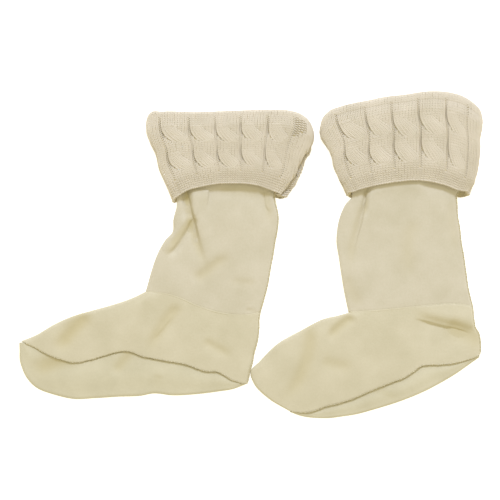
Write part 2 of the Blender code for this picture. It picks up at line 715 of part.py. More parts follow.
def leg_tube(liner):
    rows = leg_rows(liner)
    tube = fleece_tube(rows, leg_head_rise(liner), liner.ankle_rise, column(rows, "lift"), liner.leg_folds)
    tube.plan.head_fade = 3
    tube.plan.hem_trim = SEAM_GAP / 2
    return tube


def upper_tube(liner):
    low = np.zeros(len(liner.upper))
    tube = fleece_tube(liner.upper, liner.ankle_rise, liner.seam_rise, low, liner.upper_folds)
    tube.plan.head_trim = SEAM_GAP / 2
    return tube


def spaced_rows(rows, spacing):
    """The shares of a table's rows, with further ones between rows that are far apart."""
    shares = row_shares(rows)
    found = [0.0]
    for k in range(1, len(rows)):
        a, b = rows[k - 1], rows[k]
        front = math.hypot(b.front_x - a.front_x, b.front_y - a.front_y)
        back = math.hypot(b.back_x - a.back_x, b.back_y - a.back_y)
        steps = math.ceil(max(front, back) / spacing)
        found.extend(np.linspace(shares[k - 1], shares[k], steps + 1)[1:])
    return found


def fleece_rings(tube, rows):
    """Down the outside of the tube and back up its inside."""
    shares = np.linspace(0, 1, FLEECE_STEPS + 1)

    def side(under_reach, depth):
        return FLEECE_SIDE

    outside = [tube.ring(v, 0.0, shares, FLEECE_STEPS, side) for v in rows]
    inside = [tube.ring(v, FLEECE, shares, FLEECE_STEPS, side) for v in rows[::-1]]
    return outside + inside


def sole_sections(liner):
    """Sections across the folded sole, from the toe to the heel. Each is one closed loop: over the
    upper layer from the seam, round the fold on the outline and back under, then the wall's inside."""
    tube = upper_tube(liner)
    plan = tube.plan
    outline = [column(liner.sole, name) for name in ("along", "edge_x", "edge_y")]
    # the sections stand at the upper's own columns, so that the two cut edges run side by side
    front_mm, back_mm = plan.share_per_mm(1.0)
    reach = float(tube.edge_round[-1])
    stations = np.linspace(reach * front_mm, 1 - reach * back_mm, FLEECE_STEPS + 1)
    height = 2 * FLEECE + SOLE_GAP
    sections = []
    for s in stations:
        before = np.array(plan.at(max(s - SEAM_STEP, 0.0), 1.0))
        after = np.array(plan.at(min(s + SEAM_STEP, 1.0), 1.0))
        run = after - before
        down = np.array([run[1], -run[0]]) / np.hypot(*run)
        seam = np.array(plan.at(s, 1.0)) + down * SEAM_GAP
        edge = np.array([through(outline[0], values, s) for values in outline[1:]])
        width = np.hypot(*(edge - seam))
        out = (edge - seam) / width
        fold = min(height / 2, SOLE_FOLD_SHARE * width)
        loop = []
        for depth in (0.0, FLEECE):
            inner = fold * (1 - 2 * depth / height)
            turn = edge - out * fold
            half = height / 2 - depth
            face = []
            for t in np.linspace(0, 1, SOLE_TOP_STEPS + 1):
                x, y = seam + (turn - seam) * t
                puff = SOLE_PUFF * min(1.0, width / SOLE_FULL_WIDTH) * math.sin(math.pi * t) ** 2
                crease = fold_height(x, y, liner.sole_folds) * math.sin(math.pi * t)
                gap = float(soft_limit(SOLE_GAP + puff + crease, LEAST_GAP, MOST_GAP))
                face.append((x, y, gap + 2 * FLEECE - depth))
            base = float(soft_limit(SOLE_GAP, LEAST_GAP, MOST_GAP)) + 2 * FLEECE
            for point in FLEECE_SIDE:
                x, y = turn + out * inner * point.out
                face.append((x, y, base / 2 + (base / 2 - depth) * point.rise))
            for t in np.linspace(1, 0, SOLE_UNDER_STEPS + 1):
                x, y = seam + (turn - seam) * t
                face.append((x, y, depth))
            loop.append(face)
        sections.append(loop[0] + loop[1][::-1])
    return sections


def loft(name, rings, material, parent, closed):
    """One solid through rings of equal length: closed on itself, or capped at both ends."""
    mesh = bpy.data.meshes.new(name)
    skin = bmesh.new()
    grid = [[skin.verts.new(Vector(point) * MM) for point in ring] for ring in rings]
    pairs = zip(grid, grid[1:] + grid[:1] if closed else grid[1:])
    for ring, following in pairs:
        for k in range(len(ring)):
            n = (k + 1) % len(ring)
            skin.faces.new((ring[k], ring[n], following[n], following[k]))
    if not closed:
        cap_ends(skin, grid)
    bmesh.ops.triangulate(skin, faces=skin.faces[:])
    bmesh.ops.recalc_face_normals(skin, faces=skin.faces[:])
    skin.to_mesh(mesh)
    skin.free()
    mesh.shade_smooth()
    mesh.materials.append(material)
    solid = bpy.data.objects.new(name, mesh)
    solid.parent = parent
    bpy.context.scene.collection.children[COLLECTION].objects.link(solid)
    return solid


def cap_ends(skin, grid):
    """Strips across the first and last loops, whose two halves run side by side."""
    for ring in (grid[0], grid[-1]):
        half = len(ring) // 2
        for k in range(half - 1):
            skin.faces.new((ring[k], ring[k + 1], ring[-k - 2], ring[-k - 1]))


def clear_scene():
    for thing in list(bpy.data.objects):
        bpy.data.objects.remove(thing, do_unlink=True)


def cloth_material(name, colour, roughness):
    material = bpy.data.materials.new(name)
    material.use_nodes = True
    shader = material.node_tree.nodes["Principled BSDF"]
    shader.inputs["Base Color"].default_value = (*colour, 1.0)
    shader.inputs["Roughness"].default_value = roughness
    shader.inputs["Metallic"].default_value = 0.0
    return material


def make_liner(liner, fleece, knit):
    heel = bpy.data.objects.new(f"{liner.name}_heel", None)
    heel.location = Vector((liner.heel_x, liner.heel_y, 0)) * MM
    bpy.context.scene.collection.children[COLLECTION].objects.link(heel)
    loft(f"{liner.name}_cuff", cuff_rings(liner), knit, heel, closed=True)
    rows = spaced_rows(leg_rows(liner), LEG_ROW_SPACING)
    leg = fleece_rings(leg_tube(liner), rows)
    loft(f"{liner.name}_leg", leg, fleece, heel, closed=True)
    rows = spaced_rows(liner.upper, UPPER_ROW_SPACING)
    upper = fleece_rings(upper_tube(liner), rows)
    loft(f"{liner.name}_upper", upper, fleece, heel, closed=True)
    loft(f"{liner.name}_sole", sole_sections(liner), fleece, heel, closed=False)


def main():
    clear_scene()
    bpy.context.scene.collection.children.link(bpy.data.collections.new(COLLECTION))
    fleece = cloth_material("cream fleece", (0.72, 0.66, 0.50), 0.95)
    knit = cloth_material("cream cable knit", (0.75, 0.70, 0.58), 0.95)
    for liner in (LEFT, RIGHT):
        make_liner(liner, fleece, knit)


main()
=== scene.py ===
"""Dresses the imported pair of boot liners.

Each knitted cuff is made stitch by stitch on a base of its solid's form: two legs to a knit stitch and
one bump to a purl stitch, with the strands of the cables crossing over each other. The fleece pieces are
thin shells with their creases, puckers and nap, joined by overlocked seams with their thread.

The plan's tables are the part's own, in millimetres, in each liner's frame, which starts at the heel
corner of its sole seam. Objects are in metres, +Z up from the floor, toes towards -X.
"""

import math
from collections import namedtuple

import bpy
import numpy as np
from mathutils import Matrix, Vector, noise

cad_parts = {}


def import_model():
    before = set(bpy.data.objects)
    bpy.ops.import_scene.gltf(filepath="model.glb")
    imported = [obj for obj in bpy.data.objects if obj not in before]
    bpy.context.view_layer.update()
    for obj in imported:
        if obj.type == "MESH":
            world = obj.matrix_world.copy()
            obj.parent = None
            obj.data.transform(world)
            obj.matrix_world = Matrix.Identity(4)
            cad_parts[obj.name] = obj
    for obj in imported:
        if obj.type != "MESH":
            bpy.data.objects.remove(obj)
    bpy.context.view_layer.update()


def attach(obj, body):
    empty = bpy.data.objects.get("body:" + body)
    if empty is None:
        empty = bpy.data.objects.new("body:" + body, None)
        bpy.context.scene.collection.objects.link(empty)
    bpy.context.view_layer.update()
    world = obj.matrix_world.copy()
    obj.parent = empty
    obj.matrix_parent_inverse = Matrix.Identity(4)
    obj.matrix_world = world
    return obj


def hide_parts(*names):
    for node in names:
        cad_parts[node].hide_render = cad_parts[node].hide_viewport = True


MM = 0.001
TINY = 1e-9

# The cloth, as in the part
FLEECE = 2.0  # wall of the fleece pieces
KNIT = 2.4  # plain wall of the knit
PLY_GAP = 0.45  # between two layers that nest in each other
SEAM_GAP = 0.45  # between the cut edges that a seam joins
LEAST_GAP = 0.6  # inside a flattened tube, at the bottom of a crease
MOST_GAP = 3.7  # inside a flattened tube, where the cloth lifts
ROLL_REACH = 6.0  # length of the roll at the head, seen from above
TURN_LENGTH = 15.0  # from the head down to the turned-in edge
CUFF_HEIGHT_IN_PLAN = 85.0  # head to hem at the middle
CUFF_EDGE_ROUND = 9.6  # how far the side folds round in from the outline
FLEECE_EDGE_ROUND = 0.53  # the same for the fleece, as a share of its height
CUFF_SIDE_SLACK = 1.2  # the layers nest more loosely round the side folds
CUFF_CROWN = 1.2  # lift of the front layer at the middle
CROWN_RISES_IN = 0.16  # share of the width over which the upper layer lifts from its side folds
FOLD_STARTS, FOLD_ENDS = (-0.12, 0.18), (-0.15, 0.30)  # shares of a fold over which it comes up
CUFF_FACE_DEPTH = KNIT
LEG_FACE_DEPTH = KNIT + PLY_GAP
TURN_FACE_DEPTH = LEG_FACE_DEPTH + FLEECE + PLY_GAP
MOUTH_DEPTH = TURN_FACE_DEPTH + KNIT
SOLE_GAP = 1.6  # between the two layers of the folded sole
SOLE_PUFF = 1.2  # further lift of its upper layer, where it is SOLE_FULL_WIDTH wide or more
SOLE_FULL_WIDTH = 30.0
SOLE_FOLD_SHARE = 0.6  # most of its width that the fold may take
SLOPE_STEP = 0.01  # half the step in v that gives an edge's direction
SEAM_STEP = 0.004  # half the step along a seam that gives its direction
LEAST_SINE = 0.45  # of the angle between a row and an edge
HEAD_POINTS = 25  # along the leg's hidden head
LEG_HEAD_FADE = 3  # power by which the curve of the leg's head fades down the leg
TRIM_FADE = 4  # the same for what is trimmed at a seam
DROP_FADE = 3  # the same, from the hem up, for the drop of the cuff's under layer

# The knit
CABLE_RISE = 1.9  # height of a cable's strands over the plain knit
WALES_IN_CABLE = 10  # eight knit and a purl one at each side
FRONT_CABLES = 5  # between the gutters that show
HIDDEN_CABLES = 8  # round the sides and the under layer
ALL_CABLES = FRONT_CABLES + HIDDEN_CABLES
COURSE = 2.2  # height of one row of stitches
CABLES_RISE = 0.05, 0.20  # share of the cuff over which they rise out of the plain roll
CABLES_END = 0.80, 1.00  # share of the cuff over which they sink into the plain hem band
KNIT_IN_CABLE = 8
SAMPLES_PER_WALE = 2
ROW_STEP = COURSE / 2
CUFF_WALES = WALES_IN_CABLE * ALL_CABLES
STRAIGHT_LENGTH = CUFF_HEIGHT_IN_PLAN - ROLL_REACH
ROLL_LENGTH = math.pi * math.hypot(ROLL_REACH, MOUTH_DEPTH / 2) / math.sqrt(2)
CUFF_UPPER_POINTS = 260
CUFF_UNDER_POINTS = 120
CUFF_SIDE_POINTS = 20
ROPE_POWERS = 2.6, 0.6  # of a superellipse, the rope's section
STRAND_LEFT, STRAND_SWELL = 0.75, 0.16  # height of a top strand's left edge, and its swell
STRAND_LIFTS_IN, STRAND_SETTLES_IN = 0.25, 0.03  # shares of a crossing
STRAND_SPAN, STRAND_STEPS = (-0.07, 1.04), 80  # past both ends, so that no gap opens there
STRAND_WALES = 5  # four that spread as they cross
GUTTER_FLOOR, GUTTER_LOW = 0.92, 0.45  # height of a gutter, closed and open
GUTTER_OPENS = 0.16, 0.42  # where in a crossing, and half the length, as shares of the crossing
LEFT_ENDS = 0.56  # share of the cable's width, at which the top strand's left edge ends
RIGHT_ARRIVES = 0.85  # share of a crossing in which its right edge has reached the next gutter
CROSSING_LENGTH = 0.22  # as a share of the cuff
LEFT_DIP, LEFT_DIP_WIDTH = 1.00, 0.07  # how deep the strand under it dips beside its edges, over
RIGHT_DIP, RIGHT_DIP_WIDTH = 0.10, 0.12  # which share of the cable's width
COVERED_MARGIN = 0.03  # of the cable's width, by which what lies under it goes in under its edges
OVER_LIFT = 0.06  # of the rise, by which the top strand rides over
KNIT_WALE = 3.3  # width of a knit wale where the strands cross
PURL_SHARE = 0.040  # of a cable's width, taken by each of its purl wales
RELIEF_FACING = 0.15, 0.85  # upward part of the normal over which the cables come up
TOP_DROP = 0.35  # from the solid's face down to the middle of the stitches
UNDER_DROP = 0.55  # the same on the flat underside
UNDER_FACING = 0.2, -0.8  # upward part of the normal over which it changes to that
HEAD_LINE_WIDTH = 0.012  # of the cuff's height
LEG_REACH = 1.7  # length of a stitch's leg, in courses
LEG_FOOT = 0.10  # in wales from the stitch's middle, where the legs meet
LEG_SPREAD = 0.26  # in wales, by which the legs spread towards the head
LEG_ARCH = 0.08  # rise of a leg's middle
LEG_TUCK = 0.12  # how much lower a leg's head lies than its foot
LEG_WIDTH = 0.32  # half width, in wales
LEG_THICK = 0.42
PURL_OVER = 0.9  # by which a bump is longer than its wale is wide
PURL_BOW = 0.25  # in courses
PURL_WIDTH = 0.48  # half width, in courses
PURL_SHRINKS = 0.34  # of the width where the gutter is open
PURL_THICK = 0.45
GUTTER_DEPTH = 0.05  # of a bump's middle under the gutter's floor
PURL_FROM, PURL_UNTIL = 0.075, 0.84  # shares of the cuff between which its gutters are purled
HOLE_DEPTH = 0.1, 1.3  # of the cloth between the bumps of a gutter, where closed and where open
UNEVEN = 0.045  # of the yarn from stitch to stitch
SHIFTED = 0.05  # of a course and of a wale, by which the stitches are out of line
WALE_LIMITS = 1.2, 3.6  # least and most width
LAST_ROW_MARGIN = 0.001  # of a row, so that a place on the last one still has a row after it
YARN_TURN = 0.25  # of a side, by which a body of yarn is turned
PATCH_SIZE, PATCH_HOLE = 0.95, 0.55  # of its bumps, and depth of the cloth between them
PATCH_SLANT = 0.035  # by which the patch of purl is shorter from wale to wale
BASE_ROW_STRIDE = 2
BASE_DROP = 0.14  # of the base under the middle of the stitches
BASE_CLEARANCE = 0.7  # of the base from the floor
GROOVE_STEPS = 4

# The fleece
EDGE_SAMPLES = 60  # along a tube's side edges, to measure them
UNDER_STRIDE = 3  # columns of the upper layer to one of the under layer
LEAST_INNER_ROWS = 12
CREASE_STEPS = 12
FADE_PAST = 0.02  # share of a crease, past its ends, where it starts to come up
PUCKER_HEIGHT, PUCKER_LENGTH = 0.30, 26.0
PILE_HEIGHT, PILE_LENGTH = 0.07, 2.2
NOISE_SHIFT = 7.3, 3.1, 5.7  # of the noise, for each number of a seed
CUT_RADIUS = 0.3  # of the cut edges at the seams
FOLD_PACKS = 0.45  # of a fold's depth, by which its pile packs down
PACKS_BY = 1.6  # of the cloth in a crease, before its inside sinks too
FULL_SHADE_DEPTH = 5.5  # depth of a fold at which its painted shade is full
CREASE_SETTLES = 6.0  # from a hem, over which the creases come up
COLUMN_SPACING = 1.25
ROW_SPACING = 1.35
FLEECE_SIDE_POINTS = 9
INNER_ROW_STRIDE = 8
CREASE_GAP = 0.3  # between the two layers under a deep crease
SOLE_STATIONS = 200
SOLE_INSET = 0.35  # of the side folds' reach, at which the sole starts and ends
SOLE_TOP_POINTS = 34
SOLE_UNDER_POINTS = 12

# name of the mesh value that carries the painted shade in the fleece's folds
FOLD_SHADE_ATTRIBUTE = "in fold"
MIX_COLOUR_INPUTS, MIX_COLOUR_OUTPUT = (0, 6, 7), 2  # sockets of a mix node that mixes colours

# The seams
SEAM_TAIL = 1.4  # by which the sole seam's ends stand past the outline
TAIL_HEIGHT = 2.6
SEAM_WAVE, SEAM_WAVE_LENGTH, SEAM_WAVE_SEED = 0.5, 7.0, 5
SEAM_SUNK, SEAM_RISES_IN = 0.4, 0.08  # how much lower its flat part lies, and over which share it rises
BACK_SEAM_FROM = 0.30  # share of the leg where its back seam comes out of the cuff
BACK_SEAM_POINTS = 40
SEAM_POINTS = 240
ANKLE_POINTS = 120
ANKLE_SUNK = 0.45
BEAD_STEP = 0.8
BEAD_SIDES = 10
BEAD_UNEVEN, BEAD_WAVE_LENGTH, BEAD_SEED = 0.14, 4.0, 11
BEAD_ENDS_IN, LEAST_BEAD = 3.0, 0.35  # length over which a bead thins, and its share at the end
BEAD_LOWEST, THREAD_LOWEST = 0.3, 0.05  # above the floor
LOOP_ANGLES = 175, 130, 80, 30, -20  # degrees round the bead's section
LOOP_LEAN, LOOP_SHIFT = 0.45, 0.15  # shares of the loop spacing, the second one by chance
LOOP_OUT = 0.1  # of the loops' middle from the bead
THREAD_WIDTH, THREAD_THICK = 0.34, 0.26
LOOP_MARGIN = 2.0
EDGE_REACH = 1.25  # of a bound edge's chain, in wales
EDGE_CHAINS = (0.5, 0.0), (0.0, 0.8)  # how far each one is up the cuff, and how much lower it lies
EDGE_RISE, EDGE_WIDTH, EDGE_THICK = 0.1, 0.30, 0.75

# The finishes. Colours of cloth are given as they show on screen, 0 to 255.
NAP_DETAIL = {"Fine": 4.0, "Clumps": 3.0, "Broad": 2.0}
NAP_ROUGHNESS = 0.6
BROAD_SHARE = 0.5  # of the broad noise in a cloth's shade
NAP_HEIGHT = 0.0004  # metres
TONE_PLACES = 0.30, 0.70  # shades at which the darkest and the lightest tone are reached
FLEECE_NAP = {"Fine": 1500.0, "Clumps": 420.0, "Broad": 28.0, "Clump Share": 0.45}
YARN_NAP = {"Fine": 2600.0, "Clumps": 700.0, "Broad": 40.0, "Clump Share": 0.3}
# painted shade: the darker, warmer tone that the fleece takes deep in its folds, where shade falls
PAINTED_FOLD_SHADE = 196, 186, 148
CLOTH_SURFACE = {
    "Roughness": 0.92,
    "Specular IOR Level": 0.25,
    "Sheen Roughness": 0.5,
    "Sheen Tint": (1.0, 0.97, 0.90, 1),
}
FLOOR_SURFACE = {
    "Base Color": (0.93, 0.93, 0.93, 1),
    "Roughness": 1.0,
    "Specular IOR Level": 0.0,
    "Emission Color": (1, 1, 1, 1),
    "Emission Strength": 0.6,
}

# The stage, in metres
FLOOR_Z, FLOOR_HALF = -0.0002, 6.0
CAMERA_LENS, CAMERA_SENSOR, CLIP_END = 180.0, 36.0, 20
VIEW_WIDTH, VIEW_X, VIEW_Y, VIEW_PLANE = 0.570, -0.0013, 0.0054, 0.008
ROOM = {"Color": (1.0, 0.913, 0.665, 1), "Strength": 0.86}
LAMP_PLACE, LAMP_SIZE, LAMP_POWER, LAMP_COLOUR = (0.4, 2.3, 1.9), 0.5, 62.0, (0.66, 0.74, 1.0)

# The rows of the tables. Front is the instep's side, back the heel's.
CuffRow = namedtuple("CuffRow", "share front_x front_y back_x back_y height front_under back_under")
HiddenRow = namedtuple("HiddenRow", "share front_inset back_inset gap")
LegRow = namedtuple("LegRow", "front_x front_y back_x back_y lift gap swell")
UpperRow = namedtuple("UpperRow", "front_x front_y back_x back_y gap swell")
SoleRow = namedtuple("SoleRow", "along edge_x edge_y")
Rise = namedtuple("Rise", "along up")
Gutter = namedtuple("Gutter", "head hem")
PurlPatch = namedtuple("PurlPatch", "wales until")
Cut = namedtuple("Cut", "width length area")
Curl = namedtuple("Curl", "x width rise starts")
Fold = namedtuple("Fold", "x0 y0 x1 y1 bend width depth")
Crease = namedtuple("Crease", "line up up_width down down_width edge fade_in fade_out")
YarnShape = namedtuple("YarnShape", "along taper sides")
SeamShape = namedtuple("SeamShape", "width height shift loop_spacing towards")
FoldPoint = namedtuple("FoldPoint", "out rise sunk")
Cloth = namedtuple("Cloth", "name dark light sheen bump nap fold_tone")
Liner = namedtuple(
    "Liner",
    "name seed heel_x heel_y cuff head_rise hem_rise back_hem_drop gutters crossings"
    " leg_in_cuff leg ankle_rise leg_folds leg_creases upper seam_rise upper_folds upper_creases"
    " sole sole_folds head_line head_line_depth purl_patch hem_curl sunk_seam cuts",
)

# A side fold in section: out is the share of its reach, rise the share of its half height, and sunk
# the share of the under layer's extra reach that it takes. A creased side shows both layers' edges.
PLAIN_SIDE = [
    FoldPoint(0.42, 0.91, 0.0),
    FoldPoint(0.75, 0.66, 0.0),
    FoldPoint(0.95, 0.31, 0.1),
    FoldPoint(1.00, 0.00, 0.4),
    FoldPoint(0.95, -0.31, 0.8),
    FoldPoint(0.75, -0.66, 1.0),
    FoldPoint(0.42, -0.91, 1.0),
]
CREASED_SIDE = [
    FoldPoint(0.62, 0.93, 0.0),
    FoldPoint(0.96, 0.70, 0.0),
    FoldPoint(0.98, 0.42, 0.0),
    FoldPoint(0.50, 0.14, 0.1),
    FoldPoint(0.90, -0.16, 0.9),
    FoldPoint(1.00, -0.52, 1.0),
    FoldPoint(0.62, -0.90, 1.0),
]
CREASED_INSIDE = [
    FoldPoint(0.61, 0.98, 0.0),
    FoldPoint(0.97, 0.76, 0.0),
    FoldPoint(0.95, 0.48, 0.0),
    FoldPoint(0.47, 0.00, 0.0),
    FoldPoint(0.94, -0.66, 0.9),
    FoldPoint(1.00, -0.83, 1.0),
    FoldPoint(0.74, -0.98, 1.0),
]
FLEECE_SIDE = [FoldPoint(math.cos(a), math.sin(a), 0.0) for a in (math.pi / 4, 0.0, -math.pi / 4)]
CREASE_AT = 5.0  # extra reach of the under layer at which the crease is fully formed

FRONT_YARN = YarnShape(along=(0.0, 0.2, 0.5, 0.8, 1.0), taper=(0.0, 0.85, 1.0, 0.85, 0.0), sides=5)
PLAIN_YARN = YarnShape(along=(0.0, 0.5, 1.0), taper=(0.0, 1.0, 0.0), sides=4)
THREAD = YarnShape(along=(0.0, 0.25, 0.5, 0.75, 1.0), taper=(0.0, 1.0, 1.0, 1.0, 0.0), sides=4)
SOLE_SEAM = SeamShape(width=0.6, height=0.4, shift=0.0, loop_spacing=1.9, towards=1)
ANKLE_SEAM = SeamShape(width=1.3, height=0.55, shift=0.0, loop_spacing=None, towards=1)
BACK_SEAM = SeamShape(width=1.2, height=1.3, shift=0.1, loop_spacing=1.9, towards=-1)

CLOTHS = {
    "leg": Cloth("leg fleece", (195, 189, 167), (213, 207, 191), 0.08, 0.35, FLEECE_NAP, PAINTED_FOLD_SHADE),
    "upper": Cloth("foot fleece", (196, 190, 165), (213, 207, 186), 0.08, 0.35, FLEECE_NAP, PAINTED_FOLD_SHADE),
    "sole": Cloth("sole fleece", (196, 191, 167), (213, 208, 186), 0.08, 0.35, FLEECE_NAP, PAINTED_FOLD_SHADE),
    "yarn": Cloth("cuff yarn", (204, 196, 178), (220, 212, 197), 0.05, 0.5, YARN_NAP, None),
    # painted shade: the ground under the stitches is darker and yellower than the yarn, as shade in the gaps
    # and gutters where only it shows
    "ground": Cloth("cuff ground", (203, 191, 156), (219, 208, 176), 0.1, 0.4, YARN_NAP, None),
    "thread": Cloth("seam thread", (184, 173, 134), (204, 193, 157), 0.1, 0.4, YARN_NAP, None),
}


def table(kind, *rows):
    """A table's rows, each of the kind that is named first."""
    return [kind(*row) for row in rows]


LEFT = Liner(
    name="left",
    seed=3,
    heel_x=-5.5,
    heel_y=-147.7,
    cuff=table(
        CuffRow,
        # share, front x, y, back x, y, height, under layer past the front edge, past the back edge
        (0.00, -115.1, 303.6, 78.3, 288.2, 16.4, 0.0, 0.0),
        (0.15, -113.8, 288.5, 77.0, 276.7, 16.4, 0.0, 0.0),
        (0.30, -110.1, 276.0, 70.5, 266.0, 16.2, 0.0, 2.8),
        (0.46, -103.0, 261.7, 62.9, 255.7, 15.8, 0.0, 4.2),
        (0.63, -99.2, 246.2, 57.8, 244.3, 15.2, 0.0, 4.8),
        (0.80, -92.7, 230.9, 51.5, 232.9, 14.7, 0.5, 5.0),
        (1.00, -83.6, 211.8, 39.6, 217.5, 14.2, 1.5, 5.6),
    ),
    head_rise=table(
        Rise,
        (0.00, 0.0), (0.03, 6.5), (0.10, 8.9), (0.30, 11.4), (0.52, 16.4), (0.74, 20.6),
        (0.86, 21.3), (0.92, 18.3), (0.97, 10.5), (1.00, 0.0),
    ),
    hem_rise=table(
        Rise,
        (0.00, 0.0), (0.05, 2.6), (0.14, 8.6), (0.24, 11.3), (0.35, 13.6), (0.55, 14.0),
        (0.79, 9.9), (0.93, 3.0), (1.00, 0.0),
    ),
    back_hem_drop=6.0,
    gutters=table(
        Gutter,
        # share of the width at the head and at the hem
        (0.085, 0.055), (0.256, 0.244), (0.407, 0.430), (0.552, 0.615), (0.715, 0.790),
        (0.872, 0.930),
    ),
    # where each cable's two crossings end, as shares of the cuff; the last ones are for the hidden cables
    crossings=[(0.40, 0.76), (0.41, 0.77), (0.43, 0.79), (0.42, 0.78), (0.41, 0.77), (0.40, 0.76)],
    leg_in_cuff=table(
        HiddenRow,
        # share of the cuff, insets from its front and back outlines, gap in the leg
        (0.098, 3.5, 3.6, 6.7),
        (0.190, 3.5, 3.6, 6.7),
        (0.300, 3.6, 5.0, 6.2),
        (0.460, 4.4, 8.4, 4.2),
        (0.700, 4.4, 9.6, 3.0),
    ),
    leg=table(
        LegRow,
        # front x, y, back x, y, lift off the surface, gap at the sides, further lift at the middle
        (-79.2, 205.5, 31.6, 212.4, 2.9, 1.6, 1.0),
        (-83.3, 188.5, 35.8, 191.9, 1.9, 1.6, 1.6),
        (-84.5, 173.4, 34.8, 175.8, 0.7, 1.6, 1.8),
        (-92.4, 164.7, 32.6, 164.3, 0.1, 1.6, 1.9),
        (-101.0, 149.8, 30.4, 150.6, 0.0, 1.6, 1.9),
        (-108.0, 130.5, 26.7, 130.2, 0.0, 1.6, 1.8),
        (-111.9, 116.7, 23.5, 111.9, 0.0, 1.6, 1.6),
        (-115.0, 106.0, 15.2, 81.5, 0.0, 1.6, 1.4),
    ),
    ankle_rise=table(
        Rise,
        (0.00, 0.0), (0.23, 0.8), (0.34, -1.6), (0.44, -5.4), (0.55, -7.6), (0.69, -8.7),
        (0.88, -5.8), (1.00, 0.0),
    ),
    leg_folds=table(
        Fold,
        # from x, y, to x, y, sideways bend, half width, depth; a negative depth is a ridge
        (-68.7, 222.0, -49.0, 140.0, 3.0, 5.0, 2.6),
        (-58.0, 222.0, -38.0, 148.0, 3.0, 7.0, -1.0),
        (-60.0, 189.0, -90.0, 149.0, 1.5, 5.0, 2.8),
        (-70.0, 190.0, -98.0, 158.0, 1.5, 6.0, -1.2),
        (-58.0, 119.0, -22.0, 146.0, 0.0, 7.0, 1.7),
        (-69.0, 226.0, -66.5, 204.0, 0.0, 4.0, 3.0),
        (20.0, 224.0, 26.0, 184.0, -1.5, 4.5, 1.3),
        (10.0, 114.0, -18.0, 118.0, 0.0, 5.0, 0.6),
        (-35.0, 220.0, 20.0, 212.0, -3.0, 7.0, 1.2),
        (0.0, 84.5, 13.0, 83.0, 0.0, 2.0, 1.0),
    ),
    leg_creases=[
        # the line, with its raised side to the right; that side's rise and width, the other's fall
        # and width, the step's half width, and the shares of it over which it fades in and out
        Crease(
            [(-52.1, 156.9), (-56.6, 178.4), (-60.4, 193.7), (-66.7, 219.0)],
            *(1.7, 13.0, 1.2, 7.0, 0.5, 0.45, 0.02),
        ),
        Crease(
            [(-64.0, 203.0), (-66.0, 212.0), (-68.0, 224.0)],
            *(0.5, 4.0, 6.0, 5.0, 0.6, 0.4, 0.0),
        ),
        Crease(
            [(-42.6, 222.0), (-43.6, 210.0), (-46.0, 196.0)],
            *(1.8, 13.0, 1.0, 8.0, 0.8, 0.05, 0.8),
        ),
        Crease(
            [(-59.0, 190.6), (-70.6, 172.2), (-82.0, 155.6), (-90.8, 146.7)],
            *(4.4, 9.0, 3.6, 5.0, 2.6, 0.1, 0.22),
        ),
        Crease(
            [(27.0, 195.3), (22.4, 203.3), (21.3, 219.2)],
            *(0.8, 8.0, 0.7, 5.0, 0.5, 0.3, 0.02),
        ),
    ],
    upper=table(
        UpperRow,
        # front x, y, back x, y, gap at the sides, further lift at the middle
        (-115.0, 106.0, 15.2, 81.5, 1.6, 1.4),
        (-129.6, 98.8, 14.0, 74.3, 1.6, 1.6),
        (-151.1, 91.2, 13.9, 62.9, 1.7, 1.8),
        (-175.2, 84.4, 12.1, 49.1, 1.8, 1.8),
        (-198.4, 77.6, 8.6, 36.6, 1.9, 1.8),
        (-220.2, 67.9, 6.4, 24.1, 2.0, 1.6),
        (-238.9, 56.7, 3.4, 14.0, 2.2, 1.2),
        (-257.6, 49.0, 0.7, 0.1, 2.4, 0.8),
    ),
    seam_rise=table(
        Rise,
        (0.00, 0.0), (0.06, -3.6), (0.12, -9.3), (0.17, -11.5), (0.22, -13.0), (0.31, -5.6),
        (0.37, 1.8), (0.43, 9.1), (0.475, 12.2), (0.53, 9.8), (0.64, 9.3), (0.72, 9.7), (0.82, 6.3),
        (0.87, 7.6), (0.94, 1.5), (1.00, 0.0),
    ),
    upper_folds=table(
        Fold,
        (-78.0, 88.0, -110.0, 40.0, 2.0, 7.0, 2.2),
        (-109.0, 104.0, -137.0, 50.0, 2.0, 8.0, -1.6),
        (-182.0, 80.0, -216.0, 40.0, 0.0, 9.0, 3.6),
        (-48.0, 49.0, -18.0, 32.0, 0.0, 6.0, 1.3),
    ),
    upper_creases=[
        Crease(
            [(-79.4, 82.8), (-95.0, 63.0), (-107.9, 48.6)],
            *(0.9, 6.0, 1.0, 6.0, 1.6, 0.4, 0.4),
        ),
    ],
    sole=table(
        SoleRow,
        # along the seam, then the outline's x, y
        (0.009, -259.4, 47.2), (0.030, -259.0, 39.1), (0.060, -259.1, 31.1), (0.110, -256.9, 20.1),
        (0.160, -250.3, 6.2), (0.210, -238.2, -5.2), (0.260, -219.2, -12.3), (0.310, -197.7, -17.1),
        (0.370, -172.4, -16.2), (0.450, -146.3, -14.6), (0.530, -121.1, -13.6),
        (0.590, -106.0, -10.9), (0.670, -84.7, -13.0), (0.770, -58.4, -11.8), (0.870, -32.1, -8.6),
        (0.940, -14.8, -5.7), (0.985, -4.2, -1.8),
    ),
    sole_folds=table(
        Fold,
        (-196.0, 36.0, -242.0, 14.0, 0.0, 10.0, 3.0),
        (-132.0, 38.0, -150.0, 12.0, 0.0, 6.0, 2.0),
        (-100.0, 10.0, -104.0, -9.0, 0.0, 5.0, 0.6),
    ),
    head_line=0.06,
    head_line_depth=0.3,
    purl_patch=PurlPatch(4, 0.30),
    hem_curl=Curl(43.5, 5.0, 8.5, 0.90),
    sunk_seam=0.42,
    cuts={
        # all round and along, in metres, and the area in square metres
        "cuff": Cut(0.390, 0.105, 0.0394),
        "leg": Cut(0.370, 0.225, 0.0586),
        "upper": Cut(0.212, 0.273, 0.0319),
        "sole": Cut(0.094, 0.257, 0.0197),
    },
)

